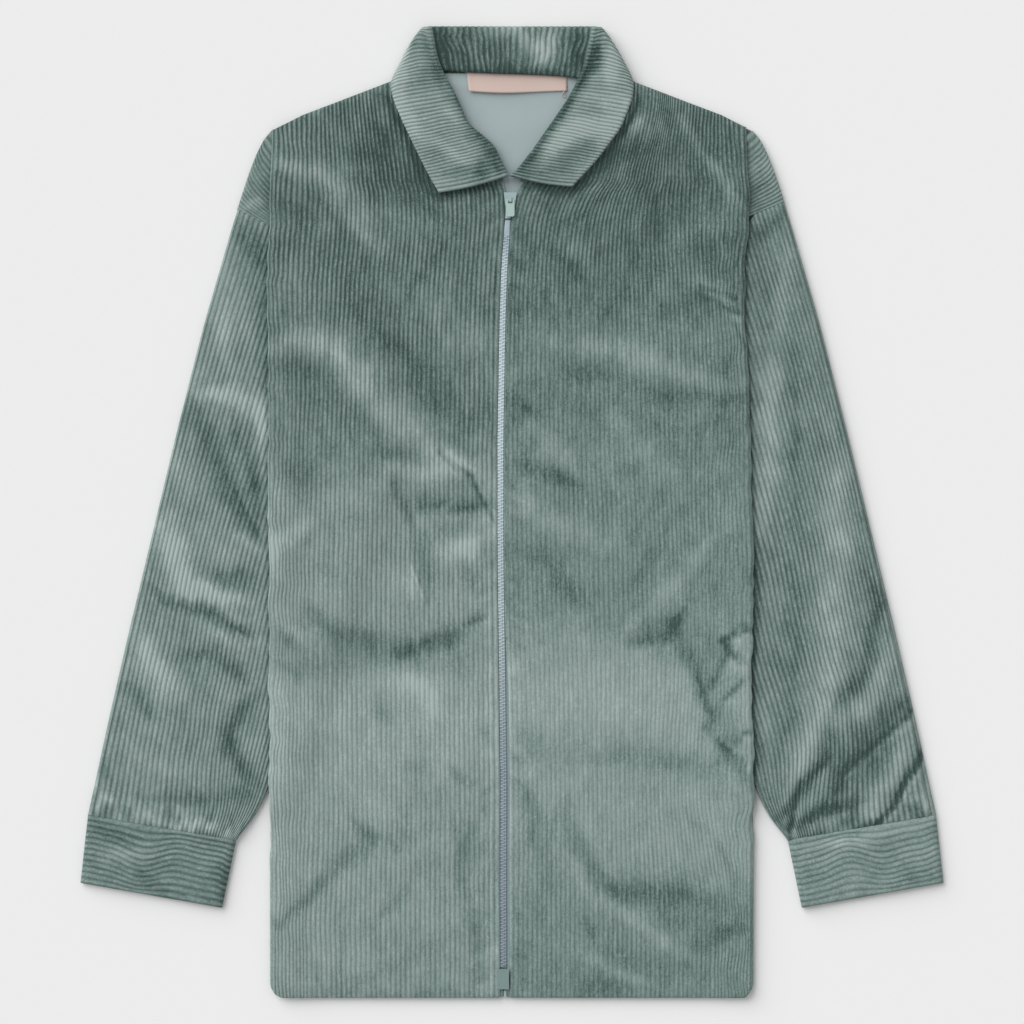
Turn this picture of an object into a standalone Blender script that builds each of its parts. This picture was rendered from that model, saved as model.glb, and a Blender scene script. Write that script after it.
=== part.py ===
"""A corduroy zip jacket laid flat, face up, its collar towards +Y. Blender 4.5, metres, +Z up.

Sizes below are in millimetres from the middle of the jacket, at the surface that it lies on.
Cloth is a plain wall with the cord's wales raised in its outer points. "left" is the -X side.
"""

import math

import bmesh
import bpy
from mathutils import Vector

MM = 0.001  # a millimetre in metres

# Cloth
WALL = 1.5  # body cloth between two wales
COLLAR_WALL = 2.6  # two layers of cloth with an interlining
CUFF_WALL = 2.2
WALE_HEIGHT = 0.9
STAND_WALE = 0.8  # the wales lie flatter behind the neck
SEAM = 0.3  # gap between pieces that are sewn together
THIN = 0.5  # lining, label and zip tape

# Overall outline
HEM_Y = -408.2
COLLAR_TOP_Y = 408.2
HEM_CORNER = 14.0  # radius of the two hem corners

# Heights that pieces lie at
BACK_TOP = WALL
LINING_Z = BACK_TOP + SEAM
LABEL_Z = LINING_Z + THIN + SEAM
TAPE_Z = LABEL_Z
CHAIN_Z = TAPE_Z + THIN + SEAM
FRONT_Z = 3.5  # underside of a front along the zip
FRONT_LOFT = 0.3  # what a front rises by, away from the zip
SLEEVE_LIFT = 2.9  # what a front rises by, over the hidden part of the sleeve
SLEEVE_TOP = 5.2  # top of a sleeve, between wales
SHOULDER_Z = 3.5  # underside of the drop shoulder
FRONT_EDGE_Z = 1.8  # underside of a front along its shoulder seam
FRONT_LEVEL_X = 12.0  # where a front starts to rise, from the middle
CUFF_TOP_Z = 5.5

# Wales across or along each piece
FRONT_WALES = 50
SLEEVE_WALES = 36
CUFF_WALES = 12
LEAF_WALES = 36
STAND_WALES = 28
SHOULDER_WALES = 17

# Radii and widths of folds and edges
SLEEVE_FOLD = 4.0
SIDE_SPREAD = 45.0  # how far in from its fold a front takes to come down
SLEEVE_SPREAD = 30.0
SHOULDER_ROUND = 9.0
EDGE_ROUND = 7.0  # how far in from an outer edge cloth takes to lift
ARMHOLE_GAP = 0.4  # between the back and a sleeve's end
BACK_INSET = 0.6  # the back's edge lies in from the side fold
ROUND_FROM_X = 172.0  # a front's shoulder seam lifts to its side fold from here
ROUND_OVER = 22.0
SLEEVE_RISE_X = 222.0  # a sleeve's underside rises here to run in over the back
SLEEVE_BACK_X = 206.0  # and is up on the back from here
SLEEVE_LOFT = 1.3  # what the open part of a sleeve swells by
SLEEVE_LOFT_X = 212.0  # where that starts
SLEEVE_LOFT_OVER = 30.0
CUFF_LOFT = 0.4
LEAF_LOOP = 1.2  # inner radius of the collar's roll
LEAF_Z = 8.6  # underside of a collar leaf at its roll
NECK_GAP = 1.6  # between a leaf's stand and the neckline, along the wales
STAND_Z = 3.4  # underside of the collar behind the neck
STAND_TURN = 30.0  # degrees either side of level where its top fold has its points
STAND_MIDDLE_Y = 385.0
STAND_FOOT_Y = 364.6  # lower edge of its inner face, in the middle
STAND_FOOT_RISE = {"left": 7.0, "right": -0.6}  # what that edge rises by towards its ends

# Zip
CHAIN_HALF = 2.6
CHAIN_HEIGHT = 1.6
TAPE_WIDTH = 12.0
CHAIN_TOP_Y = 256.0
CHAIN_END_Y = -383.6
TAPE_TOP_Y = 280.0
TAPE_OPEN = 7.0  # how far each tape's edge lies from the zip's line at its open top
TAPE_OPEN_OVER = 24.0
SLIDER_Y = 262.0  # the pull tab's axis
SLIDER_X = -1.5
SLIDER_PLATE_Z = 6.3  # just above the cloth on each side
SLIDER_PLATE = 0.9
SLIDER_HALF = 5.4
SLIDER_TAPER = 0.78  # its width at the rear, as a share of that at the front
SLIDER_REAR = 4.6
SLIDER_NOSE = 6.4
BAR_RADIUS = 0.6
PULL_LENGTH = 14.0
PULL_WIDTH = 7.2
PULL_THICKNESS = 1.3
PULL_WINDOW = 3.6
PULL_CORNER = 1.2
WINDOW_REACH = 3.0
BAR_REACH = math.hypot(BAR_RADIUS, PULL_THICKNESS / 2.0)  # the bar's corners, from its axis
AXIS_Z = SLIDER_PLATE_Z + SLIDER_PLATE + BAR_REACH + SEAM
ARCH_HALF = 1.9
ARCH_WALL = 0.7
ARCH_WIDTH = 2.2
ARCH_CORNER = 0.5
BOX_LENGTH = 16.8
BOX_HALF = 4.6
BOX_PLATE = 1.1
PIN_TOP_Y = -402.4
PIN_END_Y = -407.6
PIN_NEAR = 0.2  # its two edges, from the zip's line
PIN_FAR = 2.4
PIN_HEIGHT = 1.8


class Table:
    """Rows of sizes with named columns, read by the first column with straight runs between."""

    def __init__(self, names, *rows):
        self.names = names
        self.rows = rows

    def read(self, name, key):
        column = self.names.index(name)
        rows = self.rows
        if key <= rows[0][0]:
            return rows[0][column]
        for low, high in zip(rows, rows[1:]):
            if key <= high[0]:
                share = (key - low[0]) / (high[0] - low[0])
                return low[column] + share * (high[column] - low[column])
        return rows[-1][column]


# Distance of each side fold from the middle, from the hem up.
SIDE_FOLD = Table(
    ("y", "left", "right"),
    (-408.2, 203.4, 202.9),
    (-228.0, 203.6, 203.3),
    (-130.0, 203.9, 201.4),
    (-35.0, 204.3, 203.0),
    (60.0, 204.7, 199.9),
    (150.0, 205.0, 196.4),
    (190.0, 205.0, 195.0),
    (220.0, 205.0, 196.0),
    (250.0, 203.6, 200.4),
    (290.0, 202.2, 197.6),
    (321.0, 201.6, 197.0),
)

# What carries the side fold, the gap inside its loop and the length turned under.
SIDE_TURN = Table(
    ("y", "rest", "loop", "under"),
    (-408.2, 1.8, 1.8, 14.0),
    (-262.0, 1.8, 2.2, 18.0),
    (-228.0, 6.5, 1.2, 18.0),
    (220.0, 6.5, 1.2, 16.0),
    (290.0, 5.9, 1.0, 7.0),
    (313.0, 2.2, 0.7, 3.0),
    (321.0, 1.8, 0.6, 2.0),
)

# The zip's line and how far each front's edge lies from it.
ZIP_LINE = Table(
    ("y", "x", "gap"),
    (-408.2, -7.1, 2.9),
    (-335.0, -7.3, 2.9),
    (-262.0, -7.3, 2.9),
    (-228.0, -7.1, 2.9),
    (-130.0, -8.4, 2.9),
    (-35.0, -9.6, 2.9),
    (60.0, -9.7, 2.9),
    (150.0, -8.2, 2.9),
    (198.0, -6.8, 2.9),
    (247.0, -3.5, 2.9),
    (270.0, -0.8, 6.0),
    (277.0, 0.0, 10.0),
)

# Top edge of a front: neckline, neck point and shoulder seam, by distance from the middle.
TOP_EDGE = Table(
    ("x", "y"),
    (10.0, 277.0),
    (16.8, 289.0),
    (26.9, 302.4),
    (45.4, 320.0),
    (60.5, 341.0),
    (67.2, 354.5),
    (73.9, 372.1),
    (102.5, 361.8),
    (150.4, 343.4),
    (175.6, 333.9),
    (189.0, 326.8),
    (201.6, 320.5),
)
NECK_POINT_X = 73.9

# Outer edge of the drop shoulder and its hidden inner edge, from the top to the sleeve seam.
SHOULDER_EDGE = {
    "left": Table(
        ("share", "outer_x", "outer_y", "inner_x", "inner_y"),
        (0.0, 203.2, 319.6, 202.2, 317.6),
        (0.12, 209.0, 312.5, 201.6, 305.0),
        (0.3, 214.4, 301.8, 195.0, 284.0),
        (0.5, 219.8, 288.4, 190.7, 265.0),
        (0.75, 225.9, 270.4, 190.7, 249.0),
        (1.0, 231.0, 254.4, 190.7, 234.2),
    ),
    "right": Table(
        ("share", "outer_x", "outer_y", "inner_x", "inner_y"),
        (0.0, 203.2, 319.6, 202.2, 317.6),
        (0.12, 209.0, 312.5, 201.6, 306.0),
        (0.3, 214.1, 302.4, 195.0, 286.0),
        (0.5, 219.0, 290.4, 190.7, 270.0),
        (0.75, 224.5, 274.6, 190.7, 257.5),
        (1.0, 229.1, 260.4, 190.7, 245.6),
    ),
}

# Outer silhouette and hidden inner edge of a sleeve, from the sleeve seam to the cuff seam.
SLEEVE_EDGE = Table(
    ("share", "outer_x", "outer_y", "inner_x", "inner_y"),
    (0.0, 231.0, 253.4, 105.8, 84.4),
    (0.04, 235.8, 238.0, 110.3, 69.8),
    (0.2, 259.8, 155.0, 128.5, 11.5),
    (0.38, 283.2, 62.0, 149.0, -54.0),
    (0.55, 303.8, -24.0, 168.4, -116.0),
    (0.7, 322.2, -101.0, 185.5, -171.0),
    (0.82, 337.0, -165.0, 199.1, -214.5),
    (0.88, 344.0, -196.5, 206.0, -236.0),
    (0.94, 350.2, -226.0, 216.0, -256.5),
    (1.0, 356.6, -254.5, 231.8, -275.5),
)

# The sleeve seam, from the silhouette down to the underarm under the front.
ARMHOLE = {
    "left": Table(
        ("share", "x", "y"),
        (0.0, 231.0, 253.4),
        (0.137, 205.0, 240.4),
        (0.392, 169.7, 198.6),
        (0.689, 136.0, 144.1),
        (1.0, 105.8, 84.4),
    ),
    "right": Table(
        ("share", "x", "y"),
        (0.0, 229.2, 259.5),
        (0.137, 205.0, 250.0),
        (0.392, 170.5, 206.0),
        (0.689, 136.0, 146.0),
        (1.0, 105.8, 84.4),
    ),
}

# How far the hidden part of the sleeve reaches in under the front.
SLEEVE_REACH = Table(
    ("y", "x"),
    (-262.0, 218.0),
    (-228.0, 194.0),
    (-130.0, 164.0),
    (-35.0, 134.0),
    (60.0, 97.0),
    (150.0, 117.0),
    (198.6, 138.0),
    (232.0, 158.0),
    (262.0, 226.0),
)

CUFF_TOP = ((356.6, -254.5), (231.8, -275.5))
CUFF_BOTTOM = ((362.9, -311.6), (243.6, -332.6))

# Rolled inner edge and outer edge of each collar leaf, from the collar's top to its point.
LEAVES = {
    "left": Table(
        ("share", "inner_x", "inner_y", "outer_x", "outer_y"),
        (0.0, 67.2, 407.4, 76.4, 406.4),
        (0.15, 63.4, 386.0, 89.2, 387.6),
        (0.25, 58.9, 372.1, 95.6, 374.2),
        (0.35, 53.0, 361.0, 102.7, 361.2),
        (0.44, 46.5, 348.4, 100.0, 347.0),
        (0.6, 37.2, 326.4, 90.2, 324.0),
        (0.8, 15.4, 308.4, 76.4, 295.6),
        (0.91, 8.4, 293.4, 69.2, 281.6),
        (1.0, 3.0, 282.0, 61.3, 268.0),
    ),
    "right": Table(
        ("share", "inner_x", "inner_y", "outer_x", "outer_y"),
        (0.0, 67.2, 407.4, 76.4, 406.4),
        (0.15, 63.4, 386.0, 89.6, 387.0),
        (0.25, 58.9, 371.0, 96.8, 373.6),
        (0.35, 53.4, 359.0, 102.9, 361.2),
        (0.44, 47.6, 347.6, 101.2, 347.2),
        (0.6, 33.6, 327.0, 91.8, 323.0),
        (0.8, 16.9, 303.4, 72.6, 297.0),
        (0.91, 6.8, 290.2, 61.2, 284.4),
        (1.0, -2.0, 282.0, 50.4, 273.0),
    ),
}
LEAF_BULGE = 1.6  # how far a leaf's lower edge bows out

# The largest soft folds: middle, half of the spread each way, and what each lifts the cloth by.
FOLDS = {
    "front_left": Table(
        ("x", "y", "half_x", "half_y", "rise"),
        (58.0, 60.0, 30.0, 92.0, -1.1),
        (46.0, -35.0, 22.0, 92.0, -0.9),
        (94.0, -35.0, 30.0, 92.0, 1.3),
        (120.0, 60.0, 34.0, 88.0, 1.0),
        (150.0, 150.0, 40.0, 88.0, 1.1),
        (60.0, -130.0, 46.0, 92.0, 1.0),
    ),
    "front_right": Table(
        ("x", "y", "half_x", "half_y", "rise"),
        (54.0, 60.0, 34.0, 92.0, 1.0),
        (34.0, 150.0, 22.0, 88.0, -0.7),
        (96.0, -35.0, 40.0, 92.0, 0.9),
        (172.0, -130.0, 26.0, 92.0, 1.2),
        (150.0, 150.0, 30.0, 84.0, 1.1),
        (62.0, -130.0, 40.0, 92.0, -0.8),
    ),
    "sleeve_left": Table(
        ("x", "y", "half_x", "half_y", "rise"),
        (236.0, 70.0, 40.0, 60.0, -1.1),
        (262.0, -24.0, 44.0, 62.0, 1.1),
        (272.0, -112.0, 50.0, 44.0, -1.0),
        (300.0, -176.0, 44.0, 40.0, 0.9),
    ),
    "sleeve_right": Table(
        ("x", "y", "half_x", "half_y", "rise"),
        (246.0, 64.0, 36.0, 60.0, 0.9),
        (262.0, -34.0, 44.0, 62.0, -1.0),
        (262.0, -120.0, 44.0, 44.0, 1.0),
        (322.0, -206.0, 26.0, 34.0, -1.1),
        (284.0, -202.0, 30.0, 34.0, 1.0),
    ),
}

# Along a leaf: turn of its roll in degrees, what is under its outer edge, share of the neck seam.
LEAF_FORM = Table(
    ("share", "turn", "edge_z", "stand"),
    (0.0, 90.0, 2.9, 0.0),
    (0.3, 90.0, 2.9, 0.0),
    (0.33, 90.0, 4.2, 0.0),
    (0.35, 112.0, 5.6, 0.0),
    (0.38, 145.0, 6.7, 0.0),
    (0.42, 180.0, 6.7, 0.0),
    (0.48, 180.0, 6.7, 1.0),
    (1.0, 180.0, 6.7, 1.0),
)
LEAF_ACROSS = (0.0, 0.14, 0.55, 1.0)  # points of a leaf's panel, from its outer edge
LEAF_UNDER_ROWS = (0.0, 0.1, 0.2, 0.3, 0.33, 0.35, 0.38, 0.42, 0.48, 0.52)
LEAF_UNDER_ROWS += (0.57, 0.62, 0.68, 0.74, 0.8, 0.86, 0.91, 0.96, 1.0)

# Half width of the collar behind the neck: its fall below, its inner face above.
FALL_EDGE = Table(
    ("share", "y"),
    (0.0, 368.9),
    (0.62, 368.9),
    (0.74, 373.6),
    (0.8, 373.6),
    (1.0, 364.0),
)
STAND_HALF = Table(
    ("y", "fall", "stand"),
    (363.0, 101.3, 61.5),
    (408.2, 75.2, 70.5),
)

LABEL_OUTLINE = (
    (-38.3, 367.4),
    (46.2, 366.4),
    (46.2, 354.0),
    (20.0, 354.9),
    (-10.0, 351.9),
    (-36.2, 353.6),
)

LINING_OUTLINE = (
    (0.0, 367.4),
    (65.0, 367.4),
    (68.0, 353.0),
    (61.0, 337.0),
    (47.0, 317.0),
    (29.0, 299.0),
    (19.0, 286.0),
    (14.0, 270.0),
    (9.0, 252.0),
    (0.0, 250.0),
)

SIDES = {"left": -1.0, "right": 1.0}

FRONT_ROWS = (-335.0, -262.0, -228.0, -130.0, -35.0, 60.0, 150.0)
SLEEVE_ROWS = (0.0, 0.04, 0.2, 0.38, 0.55, 0.7, 0.82, 0.88, 0.94, 1.0)
TOP_ROWS = (30.0, 7.0, 0.0)  # last rows of a front, down from its top edge

CORD = (0.164, 0.259, 0.228, 1.0)
LINING_COLOUR = (0.352, 0.445, 0.457, 1.0)
LABEL_COLOUR = (0.610, 0.479, 0.423, 1.0)
TAPE_COLOUR = (0.352, 0.445, 0.457, 1.0)
CHAIN_COLOUR = (0.429, 0.515, 0.578, 1.0)
PULL_COLOUR = (0.402, 0.515, 0.479, 1.0)


def smooth(share):
    """0 to 1 with level ends."""
    share = min(max(share, 0.0), 1.0)
    return share * share * (3.0 - 2.0 * share)


def rounded(share):
    """0 to 1 along a quarter of an ellipse that starts upright."""
    share = min(max(share, 0.0), 1.0)
    return math.sqrt(1.0 - (1.0 - share) ** 2)


def mix(low, high, share):
    return low + (high - low) * share


def shares(count):
    return [index / count for index in range(count + 1)]


def fold_rise(piece, x, y):
    """What a piece's soft folds lift its cloth by; x is the distance from the middle."""
    rise = 0.0
    for middle_x, middle_y, half_x, half_y, height in FOLDS[piece].rows:
        near = smooth(1.0 - abs(x - middle_x) / half_x)
        rise += height * near * smooth(1.0 - abs(y - middle_y) / half_y)
    return rise


def material(name, colour, roughness, metallic=0.0):
    made = bpy.data.materials.new(name)
    made.use_nodes = True
    shader = made.node_tree.nodes["Principled BSDF"]
    shader.inputs["Base Color"].default_value = colour
    shader.inputs["Roughness"].default_value = roughness
    shader.inputs["Metallic"].default_value = metallic
    return made


def add_object(name, points, faces, colour, roughness=0.9, sharp_degrees=40.0):
    """One closed body from points in millimetres, its faces turned outwards."""
    body = bmesh.new()
    corners = [body.verts.new(Vector(point) * MM) for point in points]
    for face in faces:
        body.faces.new([corners[index] for index in face])
    bmesh.ops.recalc_face_normals(body, faces=body.faces)
    if body.calc_volume(signed=True) < 0.0:
        bmesh.ops.reverse_faces(body, faces=body.faces)
    mesh = bpy.data.meshes.new(name)
    body.to_mesh(mesh)
    body.free()
    mesh.shade_smooth()
    mesh.set_sharp_from_angle(angle=math.radians(sharp_degrees))
    mesh.materials.append(material(name, colour, roughness))
    made = bpy.data.objects.new(name, mesh)
    bpy.context.scene.collection.objects.link(made)
    return made


class Grid:
    """Rows of points, with a key for each column (across) and for each row (along)."""

    def __init__(self, rows, across, along, closed=False):
        self.rows = rows
        self.across = across
        self.along = along
        self.closed = closed
        self.start = 0

    def index(self, row, column):
        width = len(self.rows[0])
        return self.start + row * width + column % width

    def columns(self):
        """Column numbers from edge to edge; a closed grid ends where it starts."""
        return range(len(self.rows[0]) + (1 if self.closed else 0))

    def points(self):
        return [point for row in self.rows for point in row]

    def faces(self):
        last = len(self.columns()) - 1
        return [
            (
                self.index(row, column),
                self.index(row, column + 1),
                self.index(row + 1, column + 1),
                self.index(row + 1, column),
            )
            for row in range(len(self.rows) - 1)
            for column in range(last)
        ]

    def end(self, row):
        row = row % len(self.rows)
        return [self.index(row, column) for column in self.columns()]

    def side(self, column):
        return [self.index(row, column) for row in range(len(self.rows))]


def stitch(first, first_keys, second, second_keys):
    """Triangles between two runs of points, walked together by their keys."""
    faces = []
    i = 0
    j = 0
    while i < len(first) - 1 or j < len(second) - 1:
        second_done = j == len(second) - 1
        if second_done or (i < len(first) - 1 and first_keys[i + 1] <= second_keys[j + 1]):
            faces.append((first[i], first[i + 1], second[j]))
            i += 1
        else:
            faces.append((first[i], second[j + 1], second[j]))
            j += 1
    return faces


def add_wall(name, outer, inner, colour=CORD, roughness=0.9):
    """A cloth wall between a fine outer grid and a plain inner one."""
    inner.start = len(outer.points())
    faces = outer.faces() + inner.faces()
    for row in (0, -1):
        faces += stitch(outer.end(row), outer.across, inner.end(row), inner.across)
    if not outer.closed:
        for column in (0, -1):
            faces += stitch(outer.side(column), outer.along, inner.side(column), inner.along)
    return add_object(name, outer.points() + inner.points(), faces, colour, roughness)


def add_prism(name, outline, low, high, colour, roughness=0.9):
    """A flat piece of an even thickness."""
    count = len(outline)
    points = [(x, y, low) for x, y in outline] + [(x, y, high) for x, y in outline]
    faces = [tuple(range(count)), tuple(range(count, 2 * count))]
    for index in range(count):
        after = (index + 1) % count
        faces.append((index, after, count + after, count + index))
    return add_object(name, points, faces, colour, roughness)


# ---------------------------------------------------------------- fronts


def hem_y(x, fold_x):
    """Lower edge of the body, with its round corner."""
    inward = min(max((fold_x - abs(x)) / HEM_CORNER, 0.0), 1.0)
    return HEM_Y + HEM_CORNER * (1.0 - rounded(inward))


def front_height(x, y, side):
    """Underside of a front over what lies below it; x is the distance from the middle."""
    over_zip = FRONT_Z + FRONT_LOFT * smooth((x - FRONT_LEVEL_X) / SLEEVE_SPREAD)
    over_sleeve = smooth((x - SLEEVE_REACH.read("x", y)) / SLEEVE_SPREAD + 1.0)
    middle = over_zip + SLEEVE_LIFT * over_sleeve + fold_rise("front_" + side, x, y)
    rest = SIDE_TURN.read("rest", y) + WALL + SIDE_TURN.read("loop", y)
    inward = fold_centre(y, side) - x
    height = mix(middle, rest, smooth(1.0 - inward / SIDE_SPREAD))
    if x > NECK_POINT_X:
        edge = FRONT_EDGE_Z + (rest - FRONT_EDGE_Z) * smooth(
            (x - ROUND_FROM_X) / ROUND_OVER
        )
        below = TOP_EDGE.read("y", x) - y
        height = mix(edge, height, rounded(below / SHOULDER_ROUND))
    return height


def fold_centre(y, side):
    """Where the side fold's loop is centred, from the middle."""
    return SIDE_FOLD.read(side, y) - WALL - SIDE_TURN.read("loop", y) / 2.0


def front_x(share, y, side):
    """Distance from the middle of a line that runs with the wales."""
    start = ZIP_LINE.read("gap", y) + SIDES[side] * ZIP_LINE.read("x", y)
    return mix(start, fold_centre(y, side), share)


def front_rows(share, side):
    """Heights up the jacket of a wale line's points."""
    top = 300.0
    for _ in range(24):
        top = mix(top, TOP_EDGE.read("y", front_x(share, top, side)), 0.5)
    upper = [top - down for down in TOP_ROWS]
    middle = mix(FRONT_ROWS[-1], upper[0], 0.5)
    hem = hem_y(front_x(share, HEM_Y, side), SIDE_FOLD.read(side, HEM_Y))
    return [hem, *FRONT_ROWS, middle, *upper]


def front_columns(side, panel_shares, raised, turn_steps, outside):
    """The columns of a front: the panel, the loop of its fold and the part turned under."""
    sign = SIDES[side]
    columns = []
    for number, share in enumerate(panel_shares):
        wale = WALE_HEIGHT if raised and number % 2 else 0.0
        column = []
        for y in front_rows(share, side):
            x = front_x(share, y, side)
            z = front_height(x, y, side) + (WALL + wale if outside else 0.0)
            column.append((sign * x, y, z))
        columns.append(column)
    ys = front_rows(1.0, side)
    for step in range(1, turn_steps + 2):
        angle = math.pi / 2.0 - math.pi * min(step / turn_steps, 1.0)
        column = []
        for y in ys:
            centre = fold_centre(y, side)
            radius = SIDE_TURN.read("loop", y) / 2.0
            centre_z = front_height(centre, y, side) - radius
            reach = radius + (WALL if outside else 0.0)
            under = SIDE_TURN.read("under", y) if step > turn_steps else 0.0
            x = centre + reach * math.cos(angle) - under
            y = max(y, hem_y(x, SIDE_FOLD.read(side, HEM_Y)))
            column.append((sign * x, y, centre_z + reach * math.sin(angle)))
        columns.append(column)
    return columns


def grid_from_columns(columns, across):
    rows = [list(row) for row in zip(*columns)]
    return Grid(rows, across, shares(len(rows) - 1))


def add_front(side):
    turn_steps = 4
    outer_shares = shares(2 * FRONT_WALES)
    inner_shares = outer_shares[::8] + [1.0]
    turned = [1.0 + step for step in range(1, turn_steps + 2)]
    outer = front_columns(side, outer_shares, True, turn_steps, True)
    inner = front_columns(side, inner_shares, False, turn_steps, False)
    add_wall(
        "front_" + side,
        grid_from_columns(outer, outer_shares + turned),
        grid_from_columns(inner, inner_shares + turned),
    )


# ---------------------------------------------------------------- back, lining and label


def add_back():
    half = {}
    for side in SIDES:
        points = [(0.0, 367.9), (63.8, 367.9)]
        points += [(x, y) for x, y in TOP_EDGE.rows if x >= NECK_POINT_X]
        edge = SHOULDER_EDGE[side].rows[1:]
        points += [(row[1], row[2]) for row in edge[:-1]]
        points += [(x, y + ARMHOLE_GAP) for _, x, y in ARMHOLE[side].rows[:2]]
        for y in reversed(FRONT_ROWS):
            points.append((SIDE_FOLD.read(side, y) - BACK_INSET, y))
        fold = SIDE_FOLD.read(side, HEM_Y) - BACK_INSET
        for step in range(6):
            angle = math.pi / 2.0 * step / 5.0
            points.append(
                (
                    fold - HEM_CORNER * (1.0 - math.cos(angle)),
                    HEM_Y + BACK_INSET + HEM_CORNER * (1.0 - math.sin(angle)),
                )
            )
        half[side] = points
    right = half["right"]
    left = [(-x, y) for x, y in reversed(half["left"][1:])]
    add_prism("back", right + left, 0.0, BACK_TOP, CORD)


def add_neck():
    lining = list(LINING_OUTLINE)
    lining += [(-x, y) for x, y in reversed(LINING_OUTLINE[1:-1])]
    add_prism("neck_lining", lining, LINING_Z, LINING_Z + THIN, LINING_COLOUR, 0.6)
    add_prism("neck_label", LABEL_OUTLINE, LABEL_Z, LABEL_Z + THIN, LABEL_COLOUR, 0.6)


# ---------------------------------------------------------------- drop shoulders


def add_shoulder(side):
    sign = SIDES[side]

    def point(across, along, rise):
        edge = SHOULDER_EDGE[side]
        row = {name: edge.read(name, along) for name in edge.names[1:]}
        x = mix(row["outer_x"], row["inner_x"], across)
        y = mix(row["outer_y"], row["inner_y"], across)
        full = mix(FRONT_EDGE_Z + 0.1, SHOULDER_Z, smooth(along / 0.4))
        width = row["outer_x"] - row["inner_x"]
        z = mix(FRONT_EDGE_Z, full, rounded(across * width / EDGE_ROUND))
        return (sign * x, y, z + rise)

    across = [0.0, 0.07, 0.22, 0.5, 0.64, 1.0]
    raised_to = 0.6
    along = shares(2 * SHOULDER_WALES)
    outer = []
    for number, share in enumerate(along):
        wale = WALE_HEIGHT if number % 2 else 0.0
        outer.append(
            [point(u, share, WALL + (wale if u < raised_to else 0.0)) for u in across]
        )
    under = shares(8)
    inner = [[point(u, share, 0.0) for u in across] for share in under]
    add_wall("shoulder_" + side, Grid(outer, across, along), Grid(inner, across, under))


# ---------------------------------------------------------------- sleeves and cuffs


def sleeve_plan(side, across, along):
    """Place of a point of a sleeve: across from its silhouette, along from its seam."""
    row = {name: SLEEVE_EDGE.read(name, along) for name in SLEEVE_EDGE.names[1:]}
    x = mix(row["outer_x"], row["inner_x"], across)
    y = mix(row["outer_y"], row["inner_y"], across)
    first = SLEEVE_EDGE.rows[0]
    fade = (1.0 - along) ** 3
    x += fade * (ARMHOLE[side].read("x", across) - mix(first[1], first[3], across))
    y += fade * (ARMHOLE[side].read("y", across) - mix(first[2], first[4], across))
    return x, y


def sleeve_width(side, along):
    outer = Vector(sleeve_plan(side, 0.0, along))
    inner = Vector(sleeve_plan(side, 1.0, along))
    return (outer - inner).length


def sleeve_bottom(x):
    """The surface, or the back where the sleeve runs in over it."""
    share = (SLEEVE_RISE_X - x) / (SLEEVE_RISE_X - SLEEVE_BACK_X)
    return LINING_Z * min(max(share, 0.0), 1.0)


def sleeve_top(side, x, y, across, along):
    """Top of a sleeve between wales: level under the front, swollen and folded beside it."""
    open_part = smooth((x - SLEEVE_LOFT_X) / SLEEVE_LOFT_OVER) * rounded(2.0 * across)
    open_part *= rounded(2.0 * along) * rounded(4.0 * (1.0 - along))
    return SLEEVE_TOP + open_part * (SLEEVE_LOFT + fold_rise("sleeve_" + side, x, y))


def share_at(side, target, along):
    """Share across a sleeve where it crosses a line along the body's side."""
    low = 0.0
    high = 1.0
    for _ in range(30):
        middle = (low + high) / 2.0
        if sleeve_plan(side, middle, along)[0] > target:
            low = middle
        else:
            high = middle
    return high


def tube_ring(place, width, top_shares, top_rise, bottom_shares, fold, wall, turn_steps):
    """One ring of a flattened tube: over its top, round a fold, back below, round the other.

    place(share) gives x, y, the tube's lowest and its highest z; wall is how deep inside the
    tube's outer surface the ring lies.
    """
    edge = fold / width
    inset = wall / width
    ring = []
    for number, share in enumerate(top_shares):
        x, y, low, high = place(mix(edge, 1.0 - edge, share))
        ring.append((x, y, high - wall + top_rise(number)))
    for step in range(1, turn_steps + 1):
        angle = math.pi / 2.0 - math.pi * step / turn_steps
        ring.append(fold_point(place, 1.0 - edge, edge - inset, wall, angle, 1.0))
    for number, share in enumerate(bottom_shares):
        inside = edge * 1.2 * (number + 1)
        x, y, low, high = place(min(share, 1.0 - inside))
        ring.append((x, y, low + wall))
    for step in range(turn_steps):
        angle = -math.pi / 2.0 + math.pi * step / turn_steps
        ring.append(fold_point(place, edge, edge - inset, wall, angle, -1.0))
    return ring


def fold_point(place, centre, reach, wall, angle, way):
    """A point of a tube's fold, on half an ellipse about the share `centre`."""
    low, high = place(centre)[2:]
    x, y = place(centre + way * reach * math.cos(angle))[:2]
    middle = (low + high) / 2.0
    return (x, y, middle + (high - low - 2.0 * wall) / 2.0 * math.sin(angle))


def add_sleeve(side):
    sign = SIDES[side]

    def ring(along, columns, raised, wall):
        def place(share):
            x, y = sleeve_plan(side, share, along)
            return sign * x, y, sleeve_bottom(x), sleeve_top(side, x, y, share, along)

        return tube_ring(
            place,
            sleeve_width(side, along),
            shares(columns),
            lambda number: WALE_HEIGHT if raised and number % 2 else 0.0,
            [share_at(side, x, along) for x in (SLEEVE_BACK_X, SLEEVE_RISE_X)],
            SLEEVE_FOLD,
            wall,
            4,
        )

    add_tube("sleeve_" + side, ring, SLEEVE_ROWS, SLEEVE_ROWS, 2 * SLEEVE_WALES, 12, WALL)


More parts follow.
